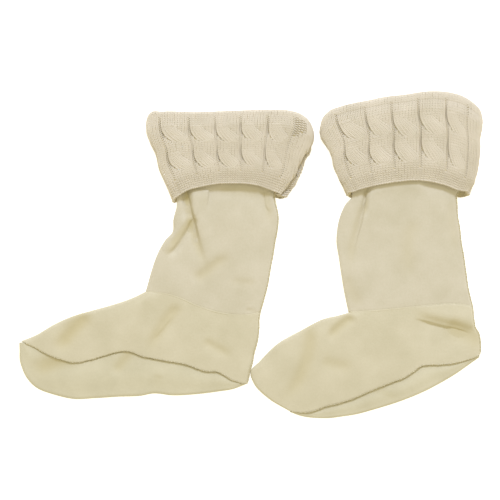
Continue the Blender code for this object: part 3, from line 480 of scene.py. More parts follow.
RIGHT = Liner(
    name="right",
    seed=17,
    heel_x=260.9,
    heel_y=-115.4,
    cuff=table(
        CuffRow,
        (0.00, -184.3, 258.8, 4.2, 271.3, 16.4, 0.0, 0.0),
        (0.13, -181.7, 248.9, 2.7, 259.9, 16.4, 0.0, 0.0),
        (0.27, -175.3, 239.3, 0.0, 248.5, 16.2, 0.3, 0.0),
        (0.42, -169.6, 228.8, 0.1, 236.0, 15.8, 0.6, 0.2),
        (0.59, -167.0, 216.3, -1.6, 221.3, 15.2, 0.8, 0.5),
        (0.78, -160.5, 203.7, -5.0, 204.7, 14.7, 1.2, 1.2),
        (1.00, -151.2, 188.1, -13.2, 188.7, 14.2, 2.0, 2.4),
    ),
    head_rise=table(
        Rise,
        (0.000, 0.0), (0.020, 10.4), (0.057, 18.6), (0.123, 23.5), (0.216, 26.9), (0.300, 28.9),
        (0.393, 31.4), (0.524, 32.6), (0.660, 34.6), (0.802, 31.2), (0.886, 25.0), (0.948, 15.8),
        (0.985, 7.4), (1.000, 0.0),
    ),
    hem_rise=table(
        Rise,
        (0.00, 0.0), (0.04, -0.9), (0.12, 2.2), (0.20, 5.0), (0.30, 7.8), (0.41, 10.0),
        (0.55, 11.7), (0.69, 9.9), (0.82, 5.2), (0.93, -0.4), (1.00, 0.0),
    ),
    back_hem_drop=7.0,
    gutters=table(
        Gutter,
        (0.100, 0.060), (0.281, 0.210), (0.440, 0.388), (0.600, 0.592), (0.770, 0.790),
        (0.900, 0.930),
    ),
    crossings=[(0.42, 0.72), (0.447, 0.77), (0.48, 0.77), (0.474, 0.76), (0.443, 0.775), (0.42, 0.76)],
    leg_in_cuff=table(
        HiddenRow,
        (0.098, 3.5, 3.6, 6.7),
        (0.190, 3.5, 3.6, 6.7),
        (0.300, 3.5, 3.5, 5.6),
        (0.460, 3.5, 3.7, 4.2),
        (0.700, 3.6, 4.6, 3.0),
    ),
    leg=table(
        LegRow,
        (-148.8, 192.0, -20.0, 194.0, 2.8, 2.2, 0.5),
        (-145.8, 181.8, -27.0, 182.4, 3.3, 1.6, 1.0),
        (-153.8, 172.2, -26.4, 171.0, 2.4, 1.6, 1.5),
        (-159.2, 160.4, -25.9, 160.7, 1.6, 1.6, 1.8),
        (-162.8, 144.2, -23.0, 143.6, 0.5, 1.6, 1.9),
        (-163.6, 131.0, -21.7, 131.0, 0.1, 1.6, 1.9),
        (-161.0, 112.7, -18.6, 112.8, 0.0, 1.6, 1.9),
        (-158.3, 94.3, -16.1, 94.5, 0.0, 1.6, 1.8),
        (-154.8, 73.3, -13.0, 74.0, 0.0, 1.6, 1.6),
        (-149.8, 49.5, -8.4, 56.0, 0.0, 1.6, 1.4),
    ),
    ankle_rise=table(
        Rise,
        (0.00, 0.0), (0.14, 0.2), (0.40, 1.6), (0.67, 3.8), (0.80, 4.6), (0.91, 3.2), (1.00, 0.0),
    ),
    leg_folds=table(
        Fold,
        (-128.5, 193.0, -131.0, 160.0, 0.0, 3.5, 1.9),
        (-130.5, 174.0, -148.0, 104.0, 3.0, 5.0, 1.5),
        (-121.0, 188.0, -133.0, 120.0, 2.0, 7.0, -0.8),
        (-155.0, 88.0, -137.0, 56.0, 0.0, 7.0, 1.0),
        (-33.0, 172.0, -28.0, 120.0, 0.0, 5.0, 0.7),
        (-76.0, 152.0, -82.0, 92.0, 3.0, 9.0, 1.0),
    ),
    leg_creases=[
        Crease(
            [(-146.7, 110.0), (-133.0, 160.7), (-128.6, 190.2)],
            *(1.5, 6.0, 2.2, 4.0, 0.6, 0.6, 0.05),
        ),
        Crease(
            [(-58.0, 190.0), (-92.0, 191.0), (-126.0, 184.0)],
            *(2.4, 25.0, 0.0, 1.0, 6.0, 0.2, 0.15),
        ),
    ],
    upper=table(
        UpperRow,
        (-149.8, 49.5, -8.4, 56.0, 1.6, 1.4),
        (-161.7, 46.3, -7.4, 44.6, 1.6, 1.6),
        (-179.6, 41.8, -5.7, 33.2, 1.7, 1.8),
        (-204.5, 28.9, -1.7, 26.5, 1.8, 1.8),
        (-231.0, 13.7, 0.0, 19.9, 1.9, 1.8),
        (-252.0, -6.9, 0.5, 14.8, 2.0, 1.7),
        (-261.5, -17.5, 0.7, 10.8, 2.1, 1.6),
        (-257.4, -32.5, 0.6, 7.4, 2.2, 1.4),
        (-240.6, -49.3, 0.5, 4.6, 2.3, 1.1),
        (-218.4, -62.6, 0.7, 1.7, 2.4, 0.8),
    ),
    seam_rise=table(
        Rise,
        (0.00, 0.0), (0.05, -4.9), (0.11, -8.4), (0.20, -7.5), (0.28, -8.2), (0.35, -7.4),
        (0.42, -4.9), (0.55, -1.9), (0.61, -0.6), (0.65, 2.8), (0.69, 6.4), (0.74, 4.9),
        (0.83, 0.0), (0.90, -1.5), (0.96, -1.4), (1.00, 0.0),
    ),
    upper_folds=table(
        Fold,
        (-72.0, 45.0, -8.0, 30.0, 1.0, 7.0, 1.2),
        (-36.0, 33.0, 6.0, 15.0, 0.0, 11.0, 2.2),
        (-145.0, 44.0, -172.0, 20.0, 2.0, 6.0, 2.4),
        (-193.0, 32.0, -219.0, -48.0, -7.0, 8.0, 2.2),
        (-180.0, -8.0, -146.0, -14.0, 0.0, 8.0, 1.2),
    ),
    upper_creases=[
        Crease(
            [(-11.4, 26.2), (-28.5, 30.8), (-48.0, 35.5), (-76.4, 43.3)],
            *(1.7, 26.0, 1.7, 24.0, 1.1, 0.2, 0.3),
        ),
        Crease(
            [(-4.0, 30.0), (-28.5, 37.0), (-48.0, 41.0), (-76.4, 47.5)],
            *(2.2, 24.0, 1.7, 24.0, 4.5, 0.1, 0.4),
        ),
    ],
    sole=table(
        SoleRow,
        (0.020, -213.3, -65.5), (0.050, -206.2, -68.2), (0.100, -193.9, -70.6),
        (0.170, -172.9, -71.3), (0.240, -156.0, -69.3), (0.310, -140.7, -66.9),
        (0.390, -121.7, -61.8), (0.500, -93.3, -53.0), (0.630, -64.8, -41.6), (0.740, -46.0, -31.9),
        (0.840, -27.1, -20.7), (0.920, -12.6, -10.5), (0.985, -2.3, -3.2),
    ),
    sole_folds=table(
        Fold,
        (-120.0, -38.0, -96.0, -52.0, 0.0, 6.0, 0.6),
    ),
    head_line=0.095,
    head_line_depth=0.5,
    purl_patch=PurlPatch(0, 0.0),
    hem_curl=Curl(-15.5, 4.5, 5.0, 0.90),
    sunk_seam=0.0,
    cuts={
        "cuff": Cut(0.380, 0.118, 0.0431),
        "leg": Cut(0.360, 0.241, 0.0679),
        "upper": Cut(0.247, 0.263, 0.0412),
        "sole": Cut(0.050, 0.215, 0.0079),
    },
)


def column(rows, name):
    return np.array([getattr(row, name) for row in rows], float)


def through(places, values, at):
    """A smooth curve through a table's values, read at any places."""
    slopes = np.gradient(values, places)
    at = np.asarray(at, float)
    i = np.clip(np.searchsorted(places, at, side="right") - 1, 0, len(places) - 2)
    span = places[i + 1] - places[i]
    t = (at - places[i]) / span
    return (
        (2 * t**3 - 3 * t**2 + 1) * values[i]
        + (t**3 - 2 * t**2 + t) * span * slopes[i]
        + (3 * t**2 - 2 * t**3) * values[i + 1]
        + (t**3 - t**2) * span * slopes[i + 1]
    )


def ease(low, high, value):
    """0 below low, 1 above high, and smooth between them."""
    t = np.clip((np.asarray(value, float) - low) / (high - low), 0, 1)
    return t * t * (3 - 2 * t)


def bump_at(value, middle, half_width):
    """1 at the middle, falling off to both sides."""
    return np.exp(-(((value - middle) / half_width) ** 2))


def unit(vectors):
    return vectors / np.maximum(np.linalg.norm(vectors, axis=-1, keepdims=True), TINY)


def travelled(points):
    """How far along a line each of its points is."""
    return np.concatenate([[0], np.cumsum(np.linalg.norm(np.diff(points, axis=0), axis=1))])


def read_along(travel, points, at):
    """The values of a line's points at any distances along it."""
    return np.stack([np.interp(at, travel, values) for values in points.T], axis=1)


class Plan:
    """Where a flat piece lies, seen from above. u is 0 at its front edge and 1 at its back edge, and v
    is 0 at its head and 1 at its hem. The edges follow the rows; head and hem rise from their chords."""

    def __init__(self, shares, rows, head_rise, hem_rise):
        self.shares = shares
        self.front = column(rows, "front_x"), column(rows, "front_y")
        self.back = column(rows, "back_x"), column(rows, "back_y")
        self.head, self.hem = ((column(rise, "along"), column(rise, "up")) for rise in (head_rise, hem_rise))
        self.head_fade = 1
        self.head_trim = 0.0
        self.hem_trim = 0.0

    def edges(self, v):
        front = np.array([through(self.shares, c, v) for c in self.front])
        back = np.array([through(self.shares, c, v) for c in self.back])
        return front, back

    def at(self, u, v):
        u, v = np.broadcast_arrays(np.asarray(u, float), np.asarray(v, float))
        front, back = self.edges(v)
        on = np.clip(u, 0, 1)
        x, y = front + (back - front) * u
        y = y + (1 - v) ** self.head_fade * through(*self.head, on) + v * through(*self.hem, on)
        return x, y - self.head_trim * (1 - v) ** TRIM_FADE + self.hem_trim * v**TRIM_FADE

    def share_per_mm(self, v):
        """How much u one millimetre in from the front outline is, and from the back one, on row v."""
        front, back = self.edges(v)
        run = (back - front) / np.hypot(*(back - front))
        before = self.edges(max(v - SLOPE_STEP, 0))
        after = self.edges(min(v + SLOPE_STEP, 1))
        found = []
        for a, b in zip(before, after, strict=True):
            along = (b - a) / np.hypot(*(b - a))
            sine = abs(along[0] * run[1] - along[1] * run[0])
            found.append(1 / max(sine, LEAST_SINE) / np.hypot(*(back - front)))
        return found


def smooth_section(points, steps):
    """A side fold's section read at even steps along it: rows of out, rise and sunk."""
    section = np.array([(0.0, 1.0, 0.0), *points, (0.0, -1.0, points[-1].sunk)])
    travel = travelled(section[:, :2])
    at = np.linspace(0, travel[-1], steps + 2)[1:-1]
    return np.array([through(travel, values, at) for values in section.T])


class FlatTube:
    """A tube of cloth pressed flat. A face's depth is 0 on the cloth's outside."""

    def __init__(self, plan, shares, low, height, edge_round):
        self.plan = plan
        self.shares = shares
        self.low = low
        self.height = height
        self.edge_round = edge_round
        self.folds = ()
        self.creases = ()
        self.swell = np.zeros(len(shares))
        self.crown_fades_by = None
        self.side_slack = 1.0
        self.front_under = self.back_under = np.zeros(len(shares))
        self.back_drop = 0.0
        self.curl = None

    def side(self, under_reach, depth, steps):
        return smooth_section(FLEECE_SIDE, steps)

    def crown(self, u, v, depth):
        """Lift of the upper layer over its height at the side folds."""
        x, y = self.plan.at(u, v)
        mask = ease(0, CROWN_RISES_IN, u) * ease(0, CROWN_RISES_IN, 1 - u)
        lift = mask * (through(self.shares, self.swell, v) + fold_height(x, y, self.folds))
        if self.crown_fades_by:
            return lift * np.clip(1 - depth / self.crown_fades_by, 0, 1)
        edge_gap = through(self.shares, self.height, v) - 2 * FLEECE
        limits = LEAST_GAP, max(MOST_GAP, edge_gap)
        return soft_limit(edge_gap + lift, *limits) - soft_limit(edge_gap, *limits)

    def ring(self, v, depth, upper, under, side_steps):
        """The closed loop of points on row v: over the upper layer, round the back, under, and back."""
        low = max(0.0, float(through(self.shares, self.low, v)))
        half = float(through(self.shares, self.height, v)) / 2
        reach = float(through(self.shares, self.edge_round, v))
        front_mm, back_mm = self.plan.share_per_mm(v)
        front_under = float(through(self.shares, self.front_under, v))
        back_under = float(through(self.shares, self.back_under, v))
        near, far = reach * front_mm, 1 - reach * back_mm
        u = near + (far - near) * upper
        parts = [(u, low + 2 * half - depth + self.crown(u, v, depth), 0 * u)]
        for under_reach, turned in ((back_under, False), (front_under, True)):
            out, rise, sunk = self.side(under_reach, depth, side_steps)
            inset = reach - (reach - depth * self.side_slack) * out - under_reach * sunk
            place = inset * front_mm if turned else 1 - inset * back_mm
            fold = np.array([place, low + half + (half - depth) * rise, (1 - rise) / 2])
            parts.append(fold[:, ::-1] if turned else fold)
        near, far = (reach - front_under) * front_mm, 1 - (reach - back_under) * back_mm
        parts.insert(2, (far + (near - far) * under, low + depth + 0 * under, 1 + 0 * under))
        u, z, sunk = np.hstack(parts)
        x, y = self.plan.at(u, v)
        if self.curl:
            near_corner = bump_at(x, self.curl.x, self.curl.width) * (x < self.curl.x) + (x >= self.curl.x)
            z = z + self.curl.rise * ease(self.curl.starts, 1, v) * near_corner * sunk
        return np.stack([x, y - self.back_drop * v**DROP_FADE * sunk, z], axis=1)


def soft_limit(value, least, most):
    """The value, eased into its limits instead of cut off at them."""
    middle, reach = (least + most) / 2, (most - least) / 2
    return middle + reach * np.tanh((np.asarray(value, float) - middle) / reach)


def fold_height(x, y, folds):
    """Height that the soft troughs and ridges add to a layer at x, y."""
    height = np.zeros(np.shape(x))
    for fold in folds:
        run = np.array([fold.x1 - fold.x0, fold.y1 - fold.y0])
        length = np.hypot(*run)
        along = ((x - fold.x0) * run[0] + (y - fold.y0) * run[1]) / length**2
        across = ((x - fold.x0) * run[1] - (y - fold.y0) * run[0]) / length
        across = across - fold.bend * 4 * along * (1 - along)
        taper = ease(*FOLD_STARTS, along) * ease(*FOLD_ENDS, 1 - along)
        height = height - fold.depth * bump_at(across, 0, fold.width) * taper
    return height


def smooth_line(points, steps):
    """A smooth line through a short list of points, read at even steps."""
    points = np.array(points, float)
    if len(points) == 2:
        return points[0] + (points[1] - points[0]) * np.linspace(0, 1, steps)[:, None]
    travel = travelled(points)
    at = np.linspace(0, travel[-1], steps)
    return np.stack([through(travel, values, at) for values in points.T], axis=-1)


def crease_height(x, y, creases):
    """Height that the sharp creases add: one side of the line stands up, and the other sinks."""
    height = np.zeros(np.shape(x))
    for crease in creases:
        line = smooth_line(crease.line, CREASE_STEPS)
        best = np.full(np.shape(x), np.inf)
        signed = np.zeros(np.shape(x))
        share = np.zeros(np.shape(x))
        for k, (a, b) in enumerate(zip(line, line[1:])):
            run = b - a
            t = np.clip(((x - a[0]) * run[0] + (y - a[1]) * run[1]) / (run @ run), 0, 1)
            dx, dy = x - a[0] - t * run[0], y - a[1] - t * run[1]
            away = np.hypot(dx, dy)
            nearer = away < best
            best = np.where(nearer, away, best)
            signed = np.where(nearer, np.sign(dx * run[1] - dy * run[0]) * away, signed)
            share = np.where(nearer, (k + t) / (len(line) - 1), share)
        taper = ease(-FADE_PAST, crease.fade_in, share) * ease(-FADE_PAST, crease.fade_out, 1 - share)
        raised = 0.5 + 0.5 * np.tanh(signed / crease.edge)
        up = crease.up * np.exp(-((signed / crease.up_width) ** 2))
        down = crease.down * np.exp(-((signed / crease.down_width) ** 2))
        height = height + taper * (raised * up - (1 - raised) * down)
    return height


def mixed_section(under_reach, depth, steps):
    """The cuff's side fold: plain, or creased where the under layer shows past the upper one."""
    creased = blend_of(CREASED_SIDE, CREASED_INSIDE, min(depth / KNIT, 1.0))
    section = blend_of(PLAIN_SIDE, creased, float(ease(0, CREASE_AT, under_reach)))
    return smooth_section(section, steps)


def blend_of(a, b, t):
    """The section that is t of the way from section a to section b."""
    mixed = np.array(a) + (np.array(b) - np.array(a)) * t
    return [FoldPoint(*point) for point in mixed]


def row_shares(rows):
    """Each row's share of the way from the first to the last, by how far the edges move."""
    edges = ([column(rows, f"{side}_{axis}") for axis in "xy"] for side in ("front", "back"))
    travel = sum(travelled(np.column_stack(edge)) for edge in edges)
    return travel / travel[-1]


def cuff_plan(liner):
    return Plan(column(liner.cuff, "share"), liner.cuff, liner.head_rise, liner.hem_rise)


def cuff_tube(liner):
    rows = liner.cuff
    plan = cuff_plan(liner)
    edge_round = np.full(len(rows), CUFF_EDGE_ROUND)
    tube = FlatTube(plan, plan.shares, np.zeros(len(rows)), column(rows, "height"), edge_round)
    tube.swell = np.full(len(rows), CUFF_CROWN)
    tube.crown_fades_by = TURN_FACE_DEPTH
    tube.side_slack = CUFF_SIDE_SLACK
    tube.front_under = column(rows, "front_under")
    tube.back_under = column(rows, "back_under")
    tube.back_drop = liner.back_hem_drop
    tube.curl = liner.hem_curl
    tube.side = mixed_section
    return tube


def leg_rows(liner):
    """The leg's rows, with those hidden in the cuff worked out from the cuff's own rows."""
    plan = cuff_plan(liner)
    rows = []
    for hidden in liner.leg_in_cuff:
        front_mm, back_mm = plan.share_per_mm(hidden.share)
        front = plan.at(hidden.front_inset * front_mm, hidden.share)
        back = plan.at(1 - hidden.back_inset * back_mm, hidden.share)
        rows.append(LegRow(*front, *back, LEG_FACE_DEPTH, hidden.gap, 0.0))
    return rows + liner.leg


def leg_head_rise(liner):
    """The leg's head follows the cuff's rows, so its rise is measured from the cuff."""
    plan = cuff_plan(liner)
    head = liner.leg_in_cuff[0]
    front_mm, back_mm = plan.share_per_mm(head.share)
    near, far = head.front_inset * front_mm, 1 - head.back_inset * back_mm
    (x0, y0), (x1, y1) = plan.at(near, head.share), plan.at(far, head.share)
    rises = []
    for share in np.linspace(0, 1, HEAD_POINTS):
        x, y = plan.at(near + (far - near) * share, head.share)
        along = (x - x0) / (x1 - x0)
        rises.append(Rise(float(along), float(y - (y0 + (y1 - y0) * along))))
    return rises


def fleece_tube(rows, head_rise, hem_rise, low, folds, creases):
    shares = row_shares(rows)
    plan = Plan(shares, rows, head_rise, hem_rise)
    height = column(rows, "gap") + 2 * FLEECE
    tube = FlatTube(plan, shares, low, height, height * FLEECE_EDGE_ROUND)
    tube.swell = column(rows, "swell")
    tube.folds = folds
    tube.creases = creases
    return tube


def leg_tube(liner):
    rows = leg_rows(liner)
    rises = leg_head_rise(liner), liner.ankle_rise
    tube = fleece_tube(rows, *rises, column(rows, "lift"), liner.leg_folds, liner.leg_creases)
    tube.plan.head_fade = LEG_HEAD_FADE
    tube.plan.hem_trim = SEAM_GAP / 2
    return tube


def upper_tube(liner):
    low = np.zeros(len(liner.upper))
    rises = liner.ankle_rise, liner.seam_rise
    tube = fleece_tube(liner.upper, *rises, low, liner.upper_folds, liner.upper_creases)
    tube.plan.head_trim = SEAM_GAP / 2
    return tube


class Skin:
    """A closed surface on a grid: rows of points down a piece, each row a loop round it."""

    def __init__(self, points, liner):
        self.points = points
        self.liner = liner
        along = np.gradient(points, axis=0)
        around = np.roll(points, -1, axis=1) - np.roll(points, 1, axis=1)
        self.normals = unit(np.cross(around, along))
        self.wale_width = np.linalg.norm(around, axis=2)

    def line_depth(self, p):
        """The line across the head where the turned-in edge is caught down."""
        v = 1 - p / CUFF_HEIGHT_IN_PLAN
        return self.liner.head_line_depth * bump_at(v, self.liner.head_line, HEAD_LINE_WIDTH)

    def read(self, grid, p, w):
        """The grid's values p millimetres up a piece and w wales round it."""
        i = np.clip(p / ROW_STEP, 0, len(grid) - 1 - LAST_ROW_MARGIN)
        j = np.mod(w * SAMPLES_PER_WALE, grid.shape[1])
        i0, j0 = i.astype(int), np.minimum(j.astype(int), grid.shape[1] - 1)
        j1 = (j0 + 1) % grid.shape[1]
        s, t = i - i0, j - j0
        if grid.ndim == 3:
            s, t = s[..., None], t[..., None]
        upper = grid[i0, j0] * (1 - t) + grid[i0, j1] * t
        lower = grid[i0 + 1, j0] * (1 - t) + grid[i0 + 1, j1] * t
        return upper * (1 - s) + lower * s


def knit_path(p):
    """(v, depth) of the place p millimetres from the hem, up the cuff's outside and over its roll."""
    roll = ROLL_REACH / CUFF_HEIGHT_IN_PLAN
    if p <= STRAIGHT_LENGTH:
        return 1 - p / CUFF_HEIGHT_IN_PLAN, 0.0
    turn = min((p - STRAIGHT_LENGTH) / ROLL_LENGTH, 1.0) * math.pi
    return roll * (1 - math.sin(turn)), MOUTH_DEPTH / 2 * (1 - math.cos(turn))


def wale_places(gutters):
    """Wale numbers and where they are along a loop. A cable's two purl wales are narrower."""
    numbers, places = [], []
    for cable, (start, end) in enumerate(zip(gutters, gutters[1:])):
        first = cable * WALES_IN_CABLE
        purl = PURL_SHARE * (end - start)
        numbers.extend([first, first + 1, first + WALES_IN_CABLE - 1])
        places.extend([start, start + purl, end - purl])
    return [*numbers, CUFF_WALES], [*places, gutters[-1]]


def cuff_skin(liner, tube):
    """The cuff's outside on a grid of half courses and half wales."""
    rows = int((STRAIGHT_LENGTH + ROLL_LENGTH) / ROW_STEP) + 1
    grid = [wale_ring(liner, tube, *knit_path(p)) for p in np.arange(rows) * ROW_STEP]
    return Skin(np.array(grid), liner)


def wale_ring(liner, tube, v, depth):
    """One loop of the cuff at a depth in the cloth, read at every half wale."""
    upper = np.linspace(0, 1, CUFF_UPPER_POINTS)
    under = np.linspace(0, 1, CUFF_UNDER_POINTS)
    ring = tube.ring(v, depth, upper, under, CUFF_SIDE_POINTS)
    loop = np.vstack([ring, ring[:1]])
    travel = travelled(loop)
    front_mm, back_mm = tube.plan.share_per_mm(v)
    near, far = CUFF_EDGE_ROUND * front_mm, 1 - CUFF_EDGE_ROUND * back_mm
    shown = [gutter.head + (gutter.hem - gutter.head) * v for gutter in liner.gutters]
    places = np.interp((np.array(shown) - near) / (far - near), upper, travel[: len(upper)])
    hidden = np.linspace(places[-1], places[0] + travel[-1], HIDDEN_CABLES + 1)
    wales = np.arange(CUFF_WALES * SAMPLES_PER_WALE) / SAMPLES_PER_WALE
    at = np.interp(wales, *wale_places([*places, *hidden[1:]])) % travel[-1]
    return read_along(travel, loop, at)


def crossing_progress(liner, cable, v):
    """0 to 1 as the strands of a cable cross at v, and 0 or 1 away from a crossing."""
    first, second = liner.crossings[min(cable, FRONT_CABLES)]
    end = np.where(np.asarray(v) <= first, first, second)
    return np.clip(1 + (v - end) / CROSSING_LENGTH, 0, 1)


def crosses(cable):
    """Whether a cable's strands cross: not where the round begins and ends at the side folds."""
    return cable not in (FRONT_CABLES, ALL_CABLES - 1)


def strand_edges(progress):
    """Where the top strand's edges are across the cable: its left one keeps to the gutter, then sweeps
    to the middle, and its right one is on its way there before."""
    left = LEFT_ENDS * (1 - np.sqrt(1 - progress**2))
    return left, 0.5 + 0.5 * ease(0, RIGHT_ARRIVES, progress)


def rope_body(across):
    """The rounded section of a whole cable."""
    return np.maximum(0, 1 - np.abs(2 * across - 1) ** ROPE_POWERS[0]) ** ROPE_POWERS[1]


def crossing_strength(progress):
    """0 away from a crossing and 1 along most of it."""
    return ease(0, STRAND_LIFTS_IN, progress) * ease(0, STRAND_SETTLES_IN, 1 - progress)


def gutter_dip(liner, gutter, v):
    """0 to 1: how open a gutter is. It opens where a strand of the cable on its back side starts to cross."""
    if not crosses(gutter % ALL_CABLES):
        return 0 * v
    starts = (end - CROSSING_LENGTH for end in liner.crossings[min(gutter, FRONT_CABLES)])
    return sum(bump_at((v - start) / CROSSING_LENGTH, *GUTTER_OPENS) for start in starts)


def gutter_floor(liner, gutter, v):
    """Height of a gutter, as a share of the cables' rise."""
    return GUTTER_FLOOR + (GUTTER_LOW - GUTTER_FLOOR) * gutter_dip(liner, gutter, v)


def cable_heights(liner, cable, v, across, progress):
    """Heights, as shares of the cables' rise, of the strand on top and of what lies under it, and
    where the top strand's two edges are."""
    left, right = strand_edges(progress)
    active = crossing_strength(progress)
    floor = gutter_floor(liner, cable, v) * (1 - across) + gutter_floor(liner, cable + 1, v) * across
    body = floor + (1 - floor) * rope_body(across)
    within = np.clip((across - left) / (right - left), 0, 1)
    swell = np.sin(math.pi * within)
    top = body + active * ((1 - within) * (STRAND_LEFT - body) + STRAND_SWELL * swell)
    left_dip = LEFT_DIP * bump_at(across, left, LEFT_DIP_WIDTH) * (across < (left + right) / 2)
    right_dip = RIGHT_DIP * bump_at(across, right, RIGHT_DIP_WIDTH) * (across >= (left + right) / 2)
    under = body * (1 - active * (left_dip + right_dip))
    return top, under, left, right


def relief_fade(skin, p, w, v):
    """How much of the cables' relief there is: none at the roll, the hem and the under layer."""
    facing = skin.read(skin.normals, p, w)[..., 2]
    return ease(*RELIEF_FACING, facing) * ease(*CABLES_RISE, v) * (1 - ease(*CABLES_END, v))


def surface_drop(skin, p, w):
    """How far the knit's middle lies inside the solid's face: more on the flat underside."""
    facing = skin.read(skin.normals, p, w)[..., 2]
    return TOP_DROP + (UNDER_DROP - TOP_DROP) * ease(*UNDER_FACING, facing)


def knit_stitches(liner, skin):
    """Every knit stitch as p, w, lean, height and width, and every purl one as p, w, height and size."""
    knit, purl = [], []
    rows = int((STRAIGHT_LENGTH + ROLL_LENGTH) / COURSE)
    p = (np.arange(rows) + 0.5) * COURSE
    v = np.array([knit_path(one)[0] for one in p])
    outside = p <= STRAIGHT_LENGTH
    for cable in range(ALL_CABLES):
        start = cable * WALES_IN_CABLE
        progress = crossing_progress(liner, cable, v) if crosses(cable) else np.zeros(rows)
        progress = np.where(outside, progress, 1.0)
        crossing = (progress > 0) & (progress < 1)
        for n in range(KNIT_IN_CABLE):
            across = np.full(rows, (n + 0.5) / KNIT_IN_CABLE)
            _, under, left, right = cable_heights(liner, cable, v, across, progress)
            covered = (across > left + COVERED_MARGIN) & (across < right - COVERED_MARGIN)
            w = start + 1 + across * KNIT_IN_CABLE
            height = CABLE_RISE * relief_fade(skin, p, w, v) * under
            purled = in_patch(liner, cable, n, v)
            shifted = p + (n + 1) % 2 * COURSE / 2
            purl.append(np.stack([shifted, w, height, 0 * p + PATCH_SIZE], axis=1)[purled])
            shown = ~purled & ~(crossing & covered)
            knit.append(np.stack([p, w, 0 * p, height, 0 * p + 1], axis=1)[shown])
        for n in range(STRAND_WALES):
            for end in liner.crossings[min(cable, FRONT_CABLES)] if crosses(cable) else ():
                knit.append(strand_wale(liner, skin, cable, end, (n + 0.5) / STRAND_WALES))
        for n, side in ((0, 0.5), (1, WALES_IN_CABLE - 0.5)):
            shifted = p + n * COURSE / 2
            w = np.full(rows, start + side)
            height = CABLE_RISE * relief_fade(skin, shifted, w, v) * gutter_floor(liner, cable + n, v)
            purled = (v > PURL_FROM) & (v < PURL_UNTIL)
            size = 1 - PURL_SHRINKS * gutter_dip(liner, cable + n, v)
            purl.append(np.stack([shifted, w, height, size], axis=1)[purled])
            knit.append(np.stack([p, w, 0 * p, height, 0 * p + 1], axis=1)[~purled])
    return np.vstack(knit), np.vstack(purl)


def in_patch(liner, cable, n, v):
    """Whether knit wale n of a cable is purled at v, in the patch beside the last gutter that shows."""
    beside = cable == FRONT_CABLES and n < liner.purl_patch.wales
    return beside & (v > PURL_FROM) & (v < liner.purl_patch.until - PATCH_SLANT * n)


def strand_wale(liner, skin, cable, end, share):
    """The stitches of one wale of a top strand, at even steps along its sweep."""
    run = np.linspace(*STRAND_SPAN, STRAND_STEPS)
    progress = np.clip(run, 0, 1)
    v = end + (run - 1) * CROSSING_LENGTH
    p = (1 - v) * CUFF_HEIGHT_IN_PLAN
    left, right = strand_edges(progress)
    across = left + share * (right - left)
    w = cable * WALES_IN_CABLE + 1 + across * KNIT_IN_CABLE
    top = cable_heights(liner, cable, v, across, progress)[0]
    height = CABLE_RISE * relief_fade(skin, p, w, v) * (top + OVER_LIFT)
    travel = travelled(np.stack([p, w * KNIT_WALE], axis=1))
    count = round(travel[-1] / COURSE)
    at = (np.arange(count) + 0.5) / count * travel[-1]
    width = (right - left) * KNIT_IN_CABLE / STRAND_WALES
    return read_along(travel, np.stack([p, w, np.gradient(w, p), height, width], axis=1), at)


def yarn_bodies(points, normals, half_widths, half_thickness, shape):
    """Closed spindles of yarn: rings round the inner points of each line, drawn to its two ends."""
    count, stations = points.shape[:2]
    along = unit(np.gradient(points, axis=1))
    sideways = unit(np.cross(along, normals))
    rings = points[:, 1:-1, None, :]
    wide = sideways[:, 1:-1, None, :] * half_widths[..., 1:-1, None, None]
    thick = normals[:, 1:-1, None, :] * half_thickness[..., 1:-1, None, None]
    turn = (np.arange(shape.sides) + YARN_TURN) / shape.sides * 2 * math.pi + math.pi / 2
    rings = rings + wide * np.cos(turn)[:, None] + thick * np.sin(turn)[:, None]
    vertices = np.concatenate(
        [points[:, :1], rings.reshape(count, (stations - 2) * shape.sides, 3), points[:, -1:]], axis=1
    )
    faces = []
    last = 1 + (stations - 2) * shape.sides
    for k in range(shape.sides):
        n = (k + 1) % shape.sides
        faces.append((0, 1 + n, 1 + k))
        for ring in range(stations - 3):
            a, b = 1 + ring * shape.sides, 1 + (ring + 1) * shape.sides
            faces.extend([(a + k, a + n, b + k), (a + n, b + n, b + k)])
        base = last - shape.sides
        faces.append((last, base + k, base + n))
    step = vertices.shape[1]
    faces = np.array(faces)[None] + (np.arange(count) * step)[:, None, None]
    return vertices.reshape(-1, 3), faces.reshape(-1, 3)


def knit_legs(skin, stitches, shape, chance):
    """The two legs of each knit stitch, which meet at its foot."""
    along = np.array(shape.along)
    p, w, lean, height, width = (stitches[:, k, None] for k in range(5))
    p = p + chance.uniform(-SHIFTED, SHIFTED, p.shape) * COURSE
    w = w + chance.uniform(-SHIFTED, SHIFTED, w.shape)
    slope = lean * KNIT_WALE
    down = 1 / np.sqrt(1 + slope**2)
    reach = COURSE * LEG_REACH * (along - 0.5)
    arch = LEG_ARCH * np.sin(math.pi * along) - LEG_TUCK * along
    found = []
    for side in (-1, 1):
        apart = side * (LEG_FOOT + LEG_SPREAD * along) * width
        dp = reach * down - apart * KNIT_WALE * slope * down
        dw = reach * slope * down / KNIT_WALE + apart * down
        wide = LEG_WIDTH * width * wale_widths(skin, p + dp, w + dw)
        found.append(spindles(skin, p + dp, w + dw, height + arch, shape, wide, LEG_THICK, chance))
    return found


def purl_bumps(skin, stitches, shape, chance):
    """The one bump across each purl stitch."""
    along = np.array(shape.along)
    p, w, height, size = (stitches[:, k, None] for k in range(4))
    dw = (1 + PURL_OVER / wale_widths(skin, p, w)) * (along - 0.5)
    dp = PURL_BOW * COURSE * np.sin(math.pi * along)
    low = height - GUTTER_DEPTH + 0 * along
    wide = PURL_WIDTH * COURSE * size + 0 * low
    return [spindles(skin, p + dp, w + dw, low, shape, wide, PURL_THICK, chance)]


def wale_widths(skin, p, w):
    return np.clip(skin.read(skin.wale_width, p, w), *WALE_LIMITS)


